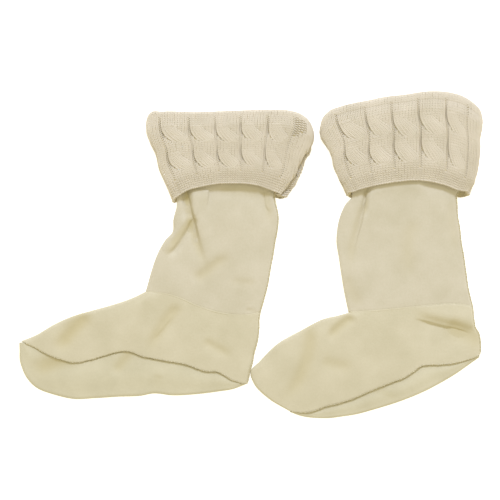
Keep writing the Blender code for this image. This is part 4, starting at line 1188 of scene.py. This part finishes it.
def spindles(skin, p, w, height, shape, wide, thick, chance):
    """Bodies of yarn along lines of places on the skin, with their half widths and half thickness."""
    normals = unit(skin.read(skin.normals, p, w))
    offset = height - surface_drop(skin, p, w) - skin.line_depth(p)
    offset = offset + chance.uniform(-UNEVEN, UNEVEN, (len(p), 1))
    points = skin.read(skin.points, p, w) + normals * offset[..., None]
    taper = np.array(shape.taper)
    vertices, faces = yarn_bodies(points, normals, wide * taper, thick * taper + 0 * wide, shape)
    vertices[:, 2] = np.maximum(vertices[:, 2], 0)
    return vertices, faces


def joined(parts):
    """Several sets of vertices and faces as one."""
    start, vertices, faces = 0, [], []
    for points, corners in parts:
        vertices.append(points)
        faces.append(corners + start)
        start += len(points)
    return np.vstack(vertices), np.vstack(faces)


def base_relief(liner, v, wales):
    """At each wale of the base's row v, its height as a share of the cables' rise, and how far it
    sinks further between the purl bumps."""
    height, hole = np.zeros(len(wales)), np.zeros(len(wales))
    for cable in range(ALL_CABLES):
        at = wales - cable * WALES_IN_CABLE
        inside = (at > 1) & (at < WALES_IN_CABLE - 1)
        across = (at[inside] - 1) / KNIT_IN_CABLE
        progress = float(crossing_progress(liner, cable, v)) if crosses(cable) else 0.0
        top, under, left, right = cable_heights(liner, cable, v, across, progress)
        over = (across > left) & (across < right) & (0 < progress < 1)
        height[inside] = np.where(over, top, under)
        hole[(at > 1) & (at < 1 + liner.purl_patch.wales)] = PATCH_HOLE * in_patch(liner, cable, 0, v)
        for n, first in enumerate((0.0, WALES_IN_CABLE - 1.0)):
            gutter = (at >= first) & (at <= first + 1 / SAMPLES_PER_WALE)
            height[gutter] = gutter_floor(liner, cable + n, v)
            if PURL_FROM < v < PURL_UNTIL:
                opened = gutter_dip(liner, cable + n, v)
                hole[gutter & (at != WALES_IN_CABLE - 1)] = np.interp(opened, (0, 1), HOLE_DEPTH)
    return height, hole


def cuff_base(liner, tube, skin):
    """The cloth under the stitches: the skin sunk below them, then the turned-in part and the inside."""
    wales = np.arange(skin.points.shape[1]) / SAMPLES_PER_WALE
    rings = []
    for i in range(0, len(skin.points), BASE_ROW_STRIDE):
        p = np.full(len(wales), i * ROW_STEP)
        v, _ = knit_path(i * ROW_STEP)
        height, hole = base_relief(liner, v, wales)
        height = height * CABLE_RISE * relief_fade(skin, p, wales, v)
        offset = height - surface_drop(skin, p, wales) - BASE_DROP - skin.line_depth(p) - hole
        points = skin.points[i] + skin.normals[i] * offset[:, None]
        points[:, 2] = np.maximum(points[:, 2], BASE_CLEARANCE)
        rings.append(points)
    roll, turned_in, wall = (length / CUFF_HEIGHT_IN_PLAN for length in (ROLL_REACH, TURN_LENGTH, KNIT))
    inner = [(turned_in, MOUTH_DEPTH), (turned_in, TURN_FACE_DEPTH)]
    middle = (TURN_FACE_DEPTH + CUFF_FACE_DEPTH) / 2
    half = (TURN_FACE_DEPTH - CUFF_FACE_DEPTH) / 2
    for turn in np.linspace(0, math.pi, GROOVE_STEPS + 1):
        inner.append((roll - (roll - wall) * math.sin(turn), middle + half * math.cos(turn)))
    inner.extend((hidden.share, CUFF_FACE_DEPTH) for hidden in liner.leg_in_cuff[1:])
    inner.append((1.0, CUFF_FACE_DEPTH))
    rings.extend(wale_ring(liner, tube, v, depth) for v, depth in inner)
    return lofted(rings)


def ring_quads(index, closed):
    """Quads between rows of point numbers, each row a loop. Closed, the last row meets the first."""
    following = np.roll(index, -1, axis=0) if closed else index[1:]
    here = index if closed else index[:-1]
    corners = [here, np.roll(here, -1, axis=1), np.roll(following, -1, axis=1), following]
    return np.stack(corners, axis=-1).reshape(-1, 4)


def lofted(rings, closed=True):
    """Quads between rings of equal length, closed on themselves or capped at both ends."""
    points = np.array(rings)
    count, size = points.shape[:2]
    index = np.arange(count * size).reshape(count, size)
    faces = ring_quads(index, closed)
    if not closed:
        half = size // 2
        for ring, turned in ((index[0], True), (index[-1], False)):
            strips = [(ring[k], ring[k + 1], ring[-k - 2], ring[-k - 1]) for k in range(half - 1)]
            strips = np.array(strips)
            faces = np.vstack([faces, strips[:, ::-1] if turned else strips])
    return points.reshape(-1, 3), faces


def unevenness(points, scale, seed):
    """Smooth noise, -1 to 1, at each point, with waves about scale millimetres long."""
    offset = Vector([seed * shift for shift in NOISE_SHIFT])
    return np.array([noise.noise(Vector(point) / scale + offset) for point in points])


def crease_detail(points, folds, creases):
    """Height that a shell's folds and creases add to what the tube's own folds give."""
    x, y = points[:, 0], points[:, 1]
    return crease_height(x, y, creases) + FOLD_PACKS * fold_height(x, y, folds)


def cloth_detail(points, folds, creases, seed):
    """Height of the folds, creases, puckers and pile at each point of an upper layer."""
    height = crease_detail(points, folds, creases)
    flat = points * (1, 1, 0)
    height = height + PUCKER_HEIGHT * unevenness(flat, PUCKER_LENGTH, seed)
    return height + PILE_HEIGHT * unevenness(flat, PILE_LENGTH, seed + 1)


def mark_painted_fold_shade(piece, vertices, folds):
    """Stores how deep in a fold each point lies, 0 to 1, for the painted shade that darkens and warms the
    cloth there.
    """
    depth = np.clip(-fold_height(vertices[:, 0], vertices[:, 1], folds) / FULL_SHADE_DEPTH, 0, 1)
    values = piece.data.attributes.new(FOLD_SHADE_ATTRIBUTE, "FLOAT", "POINT")
    values.data.foreach_set("value", depth.astype(np.float32))


def fleece_shell(tube, seed):
    """A thin closed shell of fleece: the outside with its detail, its cut edges rounded, and a plain
    inside."""
    front, back = tube.plan.edges(np.linspace(0, 1, EDGE_SAMPLES))
    length = max(np.hypot(*np.diff(edge, axis=1)).sum() for edge in (front, back))
    width = max(np.hypot(*(tube.plan.edges(v)[1] - tube.plan.edges(v)[0])) for v in (0, 0.5, 1))
    rows = np.linspace(0, 1, int(length / ROW_SPACING) + 1)
    upper = np.linspace(0, 1, int(width / COLUMN_SPACING) + 1)
    under = np.linspace(0, 1, len(upper) // UNDER_STRIDE)
    side = np.linspace(1, 0, FLEECE_SIDE_POINTS + 2)[1:-1]
    facing = np.concatenate([np.ones(len(upper)), side, np.zeros(len(under)), side[::-1]])
    rings = []
    for v in rows:
        ring = tube.ring(v, 0.0, upper, under, FLEECE_SIDE_POINTS)
        edge_mm = min(v, 1 - v) * length
        rounded = CUT_RADIUS * (1 - math.sqrt(1 - max(0.0, 1 - edge_mm / CUT_RADIUS) ** 2))
        fade = ease(0, CREASE_SETTLES, edge_mm) if v > 0.5 else 1.0
        detail = np.zeros(len(ring))
        shown = facing > 0
        detail[shown] = cloth_detail(ring[shown], tube.folds, tube.creases, seed) * fade
        ring[:, 2] += facing * (detail - rounded)
        lowest = float(through(tube.shares, tube.low, v)) + 2 * FLEECE - PACKS_BY + CREASE_GAP
        ring[facing == 1, 2] = np.maximum(ring[facing == 1, 2], lowest)
        rings.append(ring)
    for v in np.linspace(1, 0, max(len(rows) // INNER_ROW_STRIDE, LEAST_INNER_ROWS)):
        ring = tube.ring(v, FLEECE, upper, under, FLEECE_SIDE_POINTS)
        sunk = facing * np.minimum(crease_detail(ring, tube.folds, tube.creases) + PACKS_BY, 0)
        lowest = np.minimum(ring[:, 2], float(through(tube.shares, tube.low, v)) + FLEECE + CREASE_GAP)
        ring[:, 2] = np.maximum(ring[:, 2] + sunk, lowest)
        rings.append(ring)
    return lofted(rings)


def sole_shell(liner, tube, seed):
    """The folded sole: sections across it from the toe to the heel, with the wall's inside."""
    plan = tube.plan
    outline = [column(liner.sole, name) for name in ("along", "edge_x", "edge_y")]
    front_mm, back_mm = plan.share_per_mm(1.0)
    reach = float(tube.edge_round[-1])
    inset = SOLE_INSET * reach
    stations = np.linspace(inset * front_mm, 1 - inset * back_mm, SOLE_STATIONS)
    height = 2 * FLEECE + SOLE_GAP
    base = float(soft_limit(SOLE_GAP, LEAST_GAP, MOST_GAP)) + 2 * FLEECE
    out_share, rise, _ = smooth_section(FLEECE_SIDE, FLEECE_SIDE_POINTS)
    top_share = np.linspace(0, 1, SOLE_TOP_POINTS)[:, None]
    under_share = np.linspace(1, 0, SOLE_UNDER_POINTS)[:, None]
    rings = []
    for s in stations:
        before = np.array(plan.at(max(s - SEAM_STEP, 0.0), 1.0))
        after = np.array(plan.at(min(s + SEAM_STEP, 1.0), 1.0))
        run = after - before
        down = np.array([run[1], -run[0]]) / np.hypot(*run)
        seam = np.array(plan.at(s, 1.0)) + down * SEAM_GAP
        edge = np.array([through(outline[0], values, s) for values in outline[1:]])
        width = np.hypot(*(edge - seam))
        out = (edge - seam) / width
        fold = min(height / 2, SOLE_FOLD_SHARE * width)
        turn = edge - out * fold
        faces = []
        for depth in (0.0, FLEECE):
            top = seam + (turn - seam) * top_share
            wave = np.sin(math.pi * top_share[:, 0])
            puff = SOLE_PUFF * min(1.0, width / SOLE_FULL_WIDTH) * wave**2
            crease = fold_height(top[:, 0], top[:, 1], liner.sole_folds) * wave
            z = soft_limit(SOLE_GAP + puff + crease, LEAST_GAP, MOST_GAP) + 2 * FLEECE - depth
            if depth == 0:
                near_seam = np.hypot(*(top - seam).T)
                rounded = np.clip(1 - near_seam / CUT_RADIUS, 0, 1)
                z = z - CUT_RADIUS * (1 - np.sqrt(1 - rounded**2))
                level = np.column_stack([top, 0 * z])
                z = z + cloth_detail(level, liner.sole_folds, (), seed) * ease(0, 1, wave)
            side = turn + out * (fold * (1 - 2 * depth / height) * out_share)[:, None]
            side_z = base / 2 + (base / 2 - depth) * rise
            under = seam + (turn - seam) * under_share
            layers = (top, z), (side, side_z), (under, np.full(len(under), depth))
            faces.append(np.vstack([np.column_stack(layer) for layer in layers]))
        rings.append(np.vstack([faces[0], faces[1][::-1]]))
    return lofted(rings, closed=False)


def seam_line(tube, liner):
    """The sole seam on top of the upper's edge, from past the toe to past the heel."""
    upper = np.linspace(0, 1, SEAM_POINTS)
    ring = tube.ring(1.0, 0.0, upper, np.linspace(0, 1, 3), FLEECE_SIDE_POINTS)[:SEAM_POINTS]
    ring[:, 1] += SEAM_WAVE * unevenness(ring * (1, 1, 0), SEAM_WAVE_LENGTH, SEAM_WAVE_SEED)
    if liner.sunk_seam:
        ring[:, 2] -= SEAM_SUNK * (1 - ease(liner.sunk_seam, liner.sunk_seam + SEAM_RISES_IN, upper))
    first = unit(ring[0] - ring[2]) * SEAM_TAIL
    last = unit(ring[-1] - ring[-3]) * SEAM_TAIL
    ends = np.array([ring[0] + first, ring[-1] + last])
    ends[:, 2] = TAIL_HEIGHT
    return np.vstack([ends[:1], ring, ends[1:]])


def back_line(leg, upper):
    """The back seam down the leg's and the upper's heel edge."""
    points = []
    for tube, first, last in ((leg, BACK_SEAM_FROM, 1.0), (upper, 0.0, 1.0)):
        for v in np.linspace(first, last, BACK_SEAM_POINTS):
            x, y = tube.plan.at(1.0, v)
            low = max(0.0, float(through(tube.shares, tube.low, v)))
            points.append((float(x), float(y), low + float(through(tube.shares, tube.height, v)) / 2))
    return np.array(points)


def ankle_line(tube):
    """The seam between leg and upper, over the upper layer and round both edges."""
    steps = np.linspace(0, 1, ANKLE_POINTS)
    ring = tube.ring(1.0, 0.0, steps, steps[:3], FLEECE_SIDE_POINTS)
    side = FLEECE_SIDE_POINTS // 2
    line = np.vstack([ring[-side:], ring[: ANKLE_POINTS + side]])
    return line - (0, SEAM_GAP / 2, ANKLE_SUNK)


def spaced(line, spacing):
    """A line of points read again at even steps."""
    travel = travelled(line)
    return read_along(travel, line, np.linspace(0, travel[-1], int(travel[-1] / spacing) + 1))


def overlock(line, shape, chance):
    """The bead of cut edges along a seam, then the loops of thread that wrap it, if it has them."""
    centre = spaced(line, BEAD_STEP)
    along = unit(np.gradient(centre, axis=0))
    up = np.array([0.0, 0.0, 1.0])
    out = unit(np.cross(along, up)) * shape.towards
    travel = np.arange(len(centre)) * BEAD_STEP
    ends = np.clip(np.minimum(travel, travel[-1] - travel) / BEAD_ENDS_IN, LEAST_BEAD, 1)
    wave = 1 + BEAD_UNEVEN * unevenness(centre, BEAD_WAVE_LENGTH, BEAD_SEED)
    turn = np.linspace(0, 2 * math.pi, BEAD_SIDES, endpoint=False)
    wide = (shape.width * ends * wave)[:, None, None]
    high = (shape.height * ends * wave)[:, None, None]
    middle = centre + out * shape.shift

    def place(k, angle):
        return (
            middle[k][:, None]
            + out[k][:, None] * wide[k] * np.cos(angle)[..., None]
            + up * high[k] * np.sin(angle)[..., None]
        )

    rings = place(np.arange(len(centre)), np.tile(turn, (len(centre), 1)))
    rings[..., 2] = np.maximum(rings[..., 2], BEAD_LOWEST)
    bead = lofted_tube(rings)
    if not shape.loop_spacing:
        return [bead]
    at = np.arange(LOOP_MARGIN, travel[-1] - LOOP_MARGIN, shape.loop_spacing)
    at = at + chance.uniform(-LOOP_SHIFT, LOOP_SHIFT, len(at)) * shape.loop_spacing
    k = np.clip((at / BEAD_STEP).astype(int), 0, len(centre) - 1)
    angles = np.tile(np.radians(LOOP_ANGLES), (len(k), 1))
    loops = place(k, angles)
    lean = np.linspace(-LOOP_LEAN, LOOP_LEAN, len(LOOP_ANGLES)) * shape.loop_spacing
    loops = loops + along[k][:, None] * lean[:, None]
    radial = out[k][:, None] * np.cos(angles)[..., None] + up * np.sin(angles)[..., None]
    taper = np.array(THREAD.taper) + np.zeros(angles.shape)
    sizes = THREAD_WIDTH * taper, THREAD_THICK * taper
    vertices, faces = yarn_bodies(loops + radial * LOOP_OUT, radial, *sizes, THREAD)
    vertices[:, 2] = np.maximum(vertices[:, 2], THREAD_LOWEST)
    return [bead, (vertices, faces)]


def lofted_tube(rings):
    """A closed tube through rings, with a fan over each end. Quads are split, so all are triangles."""
    count, size = rings.shape[:2]
    quads = ring_quads(np.arange(count * size).reshape(count, size), False)
    tips = np.array([rings[0].mean(axis=0), rings[-1].mean(axis=0)])
    triangles = np.vstack([quads[:, [0, 1, 2]], quads[:, [0, 2, 3]]])
    k = np.arange(size)
    n = (k + 1) % size
    first = np.stack([np.full(size, count * size), n, k], axis=1)
    base = (count - 1) * size
    last = np.stack([np.full(size, count * size + 1), base + k, base + n], axis=1)
    return np.vstack([rings.reshape(-1, 3), tips]), np.vstack([triangles, first, last])


def mesh_piece(name, vertices, faces, material, liner):
    """A shown piece from points in the liner's frame, in millimetres, its faces turned outward."""
    faces = outward(vertices, faces)
    heel = np.array([liner.heel_x, liner.heel_y, 0.0])
    mesh = bpy.data.meshes.new(name)
    mesh.vertices.add(len(vertices))
    mesh.vertices.foreach_set("co", ((vertices + heel) * MM).astype(np.float32).ravel())
    mesh.loops.add(faces.size)
    mesh.loops.foreach_set("vertex_index", faces.astype(np.int32).ravel())
    mesh.polygons.add(len(faces))
    mesh.polygons.foreach_set("loop_start", np.arange(0, faces.size, faces.shape[1], dtype=np.int32))
    mesh.update(calc_edges=True)
    mesh.shade_smooth()
    mesh.materials.append(material)
    piece = bpy.data.objects.new(name, mesh)
    bpy.context.scene.collection.objects.link(piece)
    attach(piece, "root")
    return piece


def outward(vertices, faces):
    """The faces, turned if they enclose a negative volume."""
    a, b, c = (vertices[faces[:, k]] for k in range(3))
    volume = np.einsum("ij,ij->i", a, np.cross(b, c)).sum()
    if faces.shape[1] == 4:
        d = vertices[faces[:, 3]]
        volume += np.einsum("ij,ij->i", a, np.cross(c, d)).sum()
    return faces if volume > 0 else faces[:, ::-1]


def nap_group():
    """Shade and height of a napped or spun surface, from fine, clumped and broad noise, and how deep
    in a fold it lies, for the painted shade there."""
    group = bpy.data.node_groups.new("nap", "ShaderNodeTree")
    for name in (*NAP_DETAIL, "Clump Share"):
        group.interface.new_socket(name, in_out="INPUT", socket_type="NodeSocketFloat")
    for name in ("Shade", "Height", "In Fold"):
        group.interface.new_socket(name, in_out="OUTPUT", socket_type="NodeSocketFloat")
    nodes, link = group.nodes, group.links.new
    given = nodes.new("NodeGroupInput")
    result = nodes.new("NodeGroupOutput")
    place = nodes.new("ShaderNodeTexCoord")
    noises = {}
    for name, detail in NAP_DETAIL.items():
        texture = nodes.new("ShaderNodeTexNoise")
        texture.inputs["Detail"].default_value = detail
        texture.inputs["Roughness"].default_value = NAP_ROUGHNESS
        link(place.outputs["Object"], texture.inputs["Vector"])
        link(given.outputs[name], texture.inputs["Scale"])
        noises[name] = texture.outputs["Fac"]
    height = nodes.new("ShaderNodeMix")
    link(given.outputs["Clump Share"], height.inputs["Factor"])
    link(noises["Fine"], height.inputs["A"])
    link(noises["Clumps"], height.inputs["B"])
    link(height.outputs["Result"], result.inputs["Height"])
    shade = nodes.new("ShaderNodeMix")
    shade.inputs["Factor"].default_value = BROAD_SHARE
    link(height.outputs["Result"], shade.inputs["A"])
    link(noises["Broad"], shade.inputs["B"])
    link(shade.outputs["Result"], result.inputs["Shade"])
    fold = nodes.new("ShaderNodeAttribute")
    fold.attribute_name = FOLD_SHADE_ATTRIBUTE
    link(fold.outputs["Fac"], result.inputs["In Fold"])
    return group


def set_inputs(node, values):
    for name, value in values.items():
        node.inputs[name].default_value = value


def cloth_material(cloth, nap):
    """A napped cloth: two tones mixed by the nap, painted shade in its folds where it has a fold shade, a
    soft sheen, and the nap's relief.
    """
    material = bpy.data.materials.new(cloth.name)
    material.use_nodes = True
    nodes, link = material.node_tree.nodes, material.node_tree.links.new
    shader = nodes["Principled BSDF"]
    surface = nodes.new("ShaderNodeGroup")
    surface.node_tree = nap
    set_inputs(surface, cloth.nap)
    ramp = nodes.new("ShaderNodeValToRGB")
    stops = zip(ramp.color_ramp.elements, TONE_PLACES, (cloth.dark, cloth.light))
    for stop, place, tone in stops:
        stop.position = place
        stop.color = (*linear(*tone), 1)
    link(surface.outputs["Shade"], ramp.inputs["Fac"])
    colour = ramp.outputs["Color"]
    # painted shade: deep in a fold the colour turns to the darker, warmer fold shade
    if cloth.fold_tone:
        fold_shaded = nodes.new("ShaderNodeMix")
        fold_shaded.data_type = "RGBA"
        factor, below, above = (fold_shaded.inputs[k] for k in MIX_COLOUR_INPUTS)
        link(surface.outputs["In Fold"], factor)
        link(colour, below)
        above.default_value = (*linear(*cloth.fold_tone), 1)
        colour = fold_shaded.outputs[MIX_COLOUR_OUTPUT]
    link(colour, shader.inputs["Base Color"])
    relief = nodes.new("ShaderNodeBump")
    set_inputs(relief, {"Strength": cloth.bump, "Distance": NAP_HEIGHT})
    link(surface.outputs["Height"], relief.inputs["Height"])
    link(relief.outputs["Normal"], shader.inputs["Normal"])
    set_inputs(shader, {**CLOTH_SURFACE, "Sheen Weight": cloth.sheen})
    return material


def linear(red, green, blue):
    """A colour given as it shows on screen, 0 to 255, as the shader takes it."""
    values = np.array([red, green, blue]) / 255
    return tuple(np.where(values <= 0.04045, values / 12.92, ((values + 0.055) / 1.055) ** 2.4))


def cuff_pieces(liner, materials, chance):
    """The cuff's base, and the stitches and bound edge on it."""
    tube = cuff_tube(liner)
    skin = cuff_skin(liner, tube)
    # the base takes the ground's colour: painted shade between the stitches
    base = mesh_piece(f"{liner.name}_cuff_knit", *cuff_base(liner, tube, skin), materials["ground"], liner)
    knit, purl = knit_stitches(liner, skin)
    shown = WALES_IN_CABLE * (FRONT_CABLES + 1)
    last = CUFF_WALES - WALES_IN_CABLE
    pieces = []
    for side, shape in (("front", FRONT_YARN), ("back", PLAIN_YARN)):
        rows = []
        for stitches in (knit, purl):
            in_front = (stitches[:, 1] < shown) | (stitches[:, 1] > last)
            rows.append(stitches[in_front == (side == "front")])
        bodies = joined(knit_legs(skin, rows[0], shape, chance) + purl_bumps(skin, rows[1], shape, chance))
        pieces.append(mesh_piece(f"{liner.name}_cuff_{side}_stitches", *bodies, materials["yarn"], liner))
    edge = bound_edge(skin, chance)
    pieces.append(mesh_piece(f"{liner.name}_cuff_bound_edge", *edge, materials["yarn"], liner))
    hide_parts(f"{liner.name}_cuff")
    return base, pieces


def bound_edge(skin, chance):
    """The chain that binds the knit off along the hem."""
    wales = np.arange(CUFF_WALES) + 0.5
    along = np.array(FRONT_YARN.along)
    parts = []
    for up, drop in EDGE_CHAINS:
        w = wales[:, None] + EDGE_REACH * (along - 0.5)
        p = up + 0 * w
        wide = EDGE_WIDTH * wale_widths(skin, p, w)
        height = np.full(w.shape, EDGE_RISE - drop)
        parts.append(spindles(skin, p, w, height, FRONT_YARN, wide, EDGE_THICK, chance))
    return joined(parts)


def make_liner(liner, materials):
    chance = np.random.default_rng(liner.seed)
    cuff, cuff_details = cuff_pieces(liner, materials, chance)
    leg_form, upper_form = leg_tube(liner), upper_tube(liner)
    fleeces = {}
    for name, shell, folds in (
        ("leg", fleece_shell(leg_form, liner.seed), liner.leg_folds),
        ("upper", fleece_shell(upper_form, liner.seed + 2), liner.upper_folds),
        ("sole", sole_shell(liner, upper_form, liner.seed + 4), liner.sole_folds),
    ):
        fleeces[name] = mesh_piece(f"{liner.name}_{name}_fleece", *shell, materials[name], liner)
        # each fleece piece stores how much painted shade its folds get
        mark_painted_fold_shade(fleeces[name], shell[0], folds)
        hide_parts(f"{liner.name}_{name}")
    for name, line, shape in (
        ("sole", seam_line(upper_form, liner), SOLE_SEAM),
        ("back", back_line(leg_form, upper_form), BACK_SEAM),
        ("ankle", ankle_line(leg_form), ANKLE_SEAM),
    ):
        made = zip(("edge", "thread"), ("upper", "thread"), overlock(line, shape, chance))
        [
            mesh_piece(f"{liner.name}_{name}_seam_{part}", *mesh, materials[cloth], liner)
            for part, cloth, mesh in made
        ]


def placed(name, data, place=(0, 0, 0)):
    """A new object of the stage."""
    thing = bpy.data.objects.new(name, data)
    thing.location = place
    bpy.context.scene.collection.objects.link(thing)
    return thing


def make_stage():
    """The white floor, soft light from the head end, and the camera straight above."""
    mesh = bpy.data.meshes.new("floor")
    corners = [(x * FLOOR_HALF, y * FLOOR_HALF, FLOOR_Z) for x, y in ((-1, -1), (1, -1), (1, 1), (-1, 1))]
    mesh.from_pydata(corners, [], [(0, 1, 2, 3)])
    white = bpy.data.materials.new("white floor")
    white.use_nodes = True
    set_inputs(white.node_tree.nodes["Principled BSDF"], FLOOR_SURFACE)
    mesh.materials.append(white)
    placed("floor", mesh)
    world = bpy.data.worlds.new("soft white room")
    world.use_nodes = True
    set_inputs(world.node_tree.nodes["Background"], ROOM)
    bpy.context.scene.world = world
    light = bpy.data.lights.new("head light", "AREA")
    light.shape, light.size = "SQUARE", LAMP_SIZE
    light.energy, light.color = LAMP_POWER, LAMP_COLOUR
    lamp = placed("head light", light, LAMP_PLACE)
    lamp.rotation_euler = (-Vector(LAMP_PLACE)).to_track_quat("-Z", "Y").to_euler()
    data = bpy.data.cameras.new("camera")
    data.lens, data.sensor_width, data.clip_end = CAMERA_LENS, CAMERA_SENSOR, CLIP_END
    height = VIEW_PLANE + VIEW_WIDTH * CAMERA_LENS / CAMERA_SENSOR
    bpy.context.scene.camera = placed("camera", data, (VIEW_X, VIEW_Y, height))
    bpy.context.scene.view_settings.view_transform = "Standard"


def main():
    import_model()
    make_stage()
    nap = nap_group()
    materials = {name: cloth_material(cloth, nap) for name, cloth in CLOTHS.items()}
    for liner in (LEFT, RIGHT):
        make_liner(liner, materials)
    bpy.context.view_layer.update()


main()
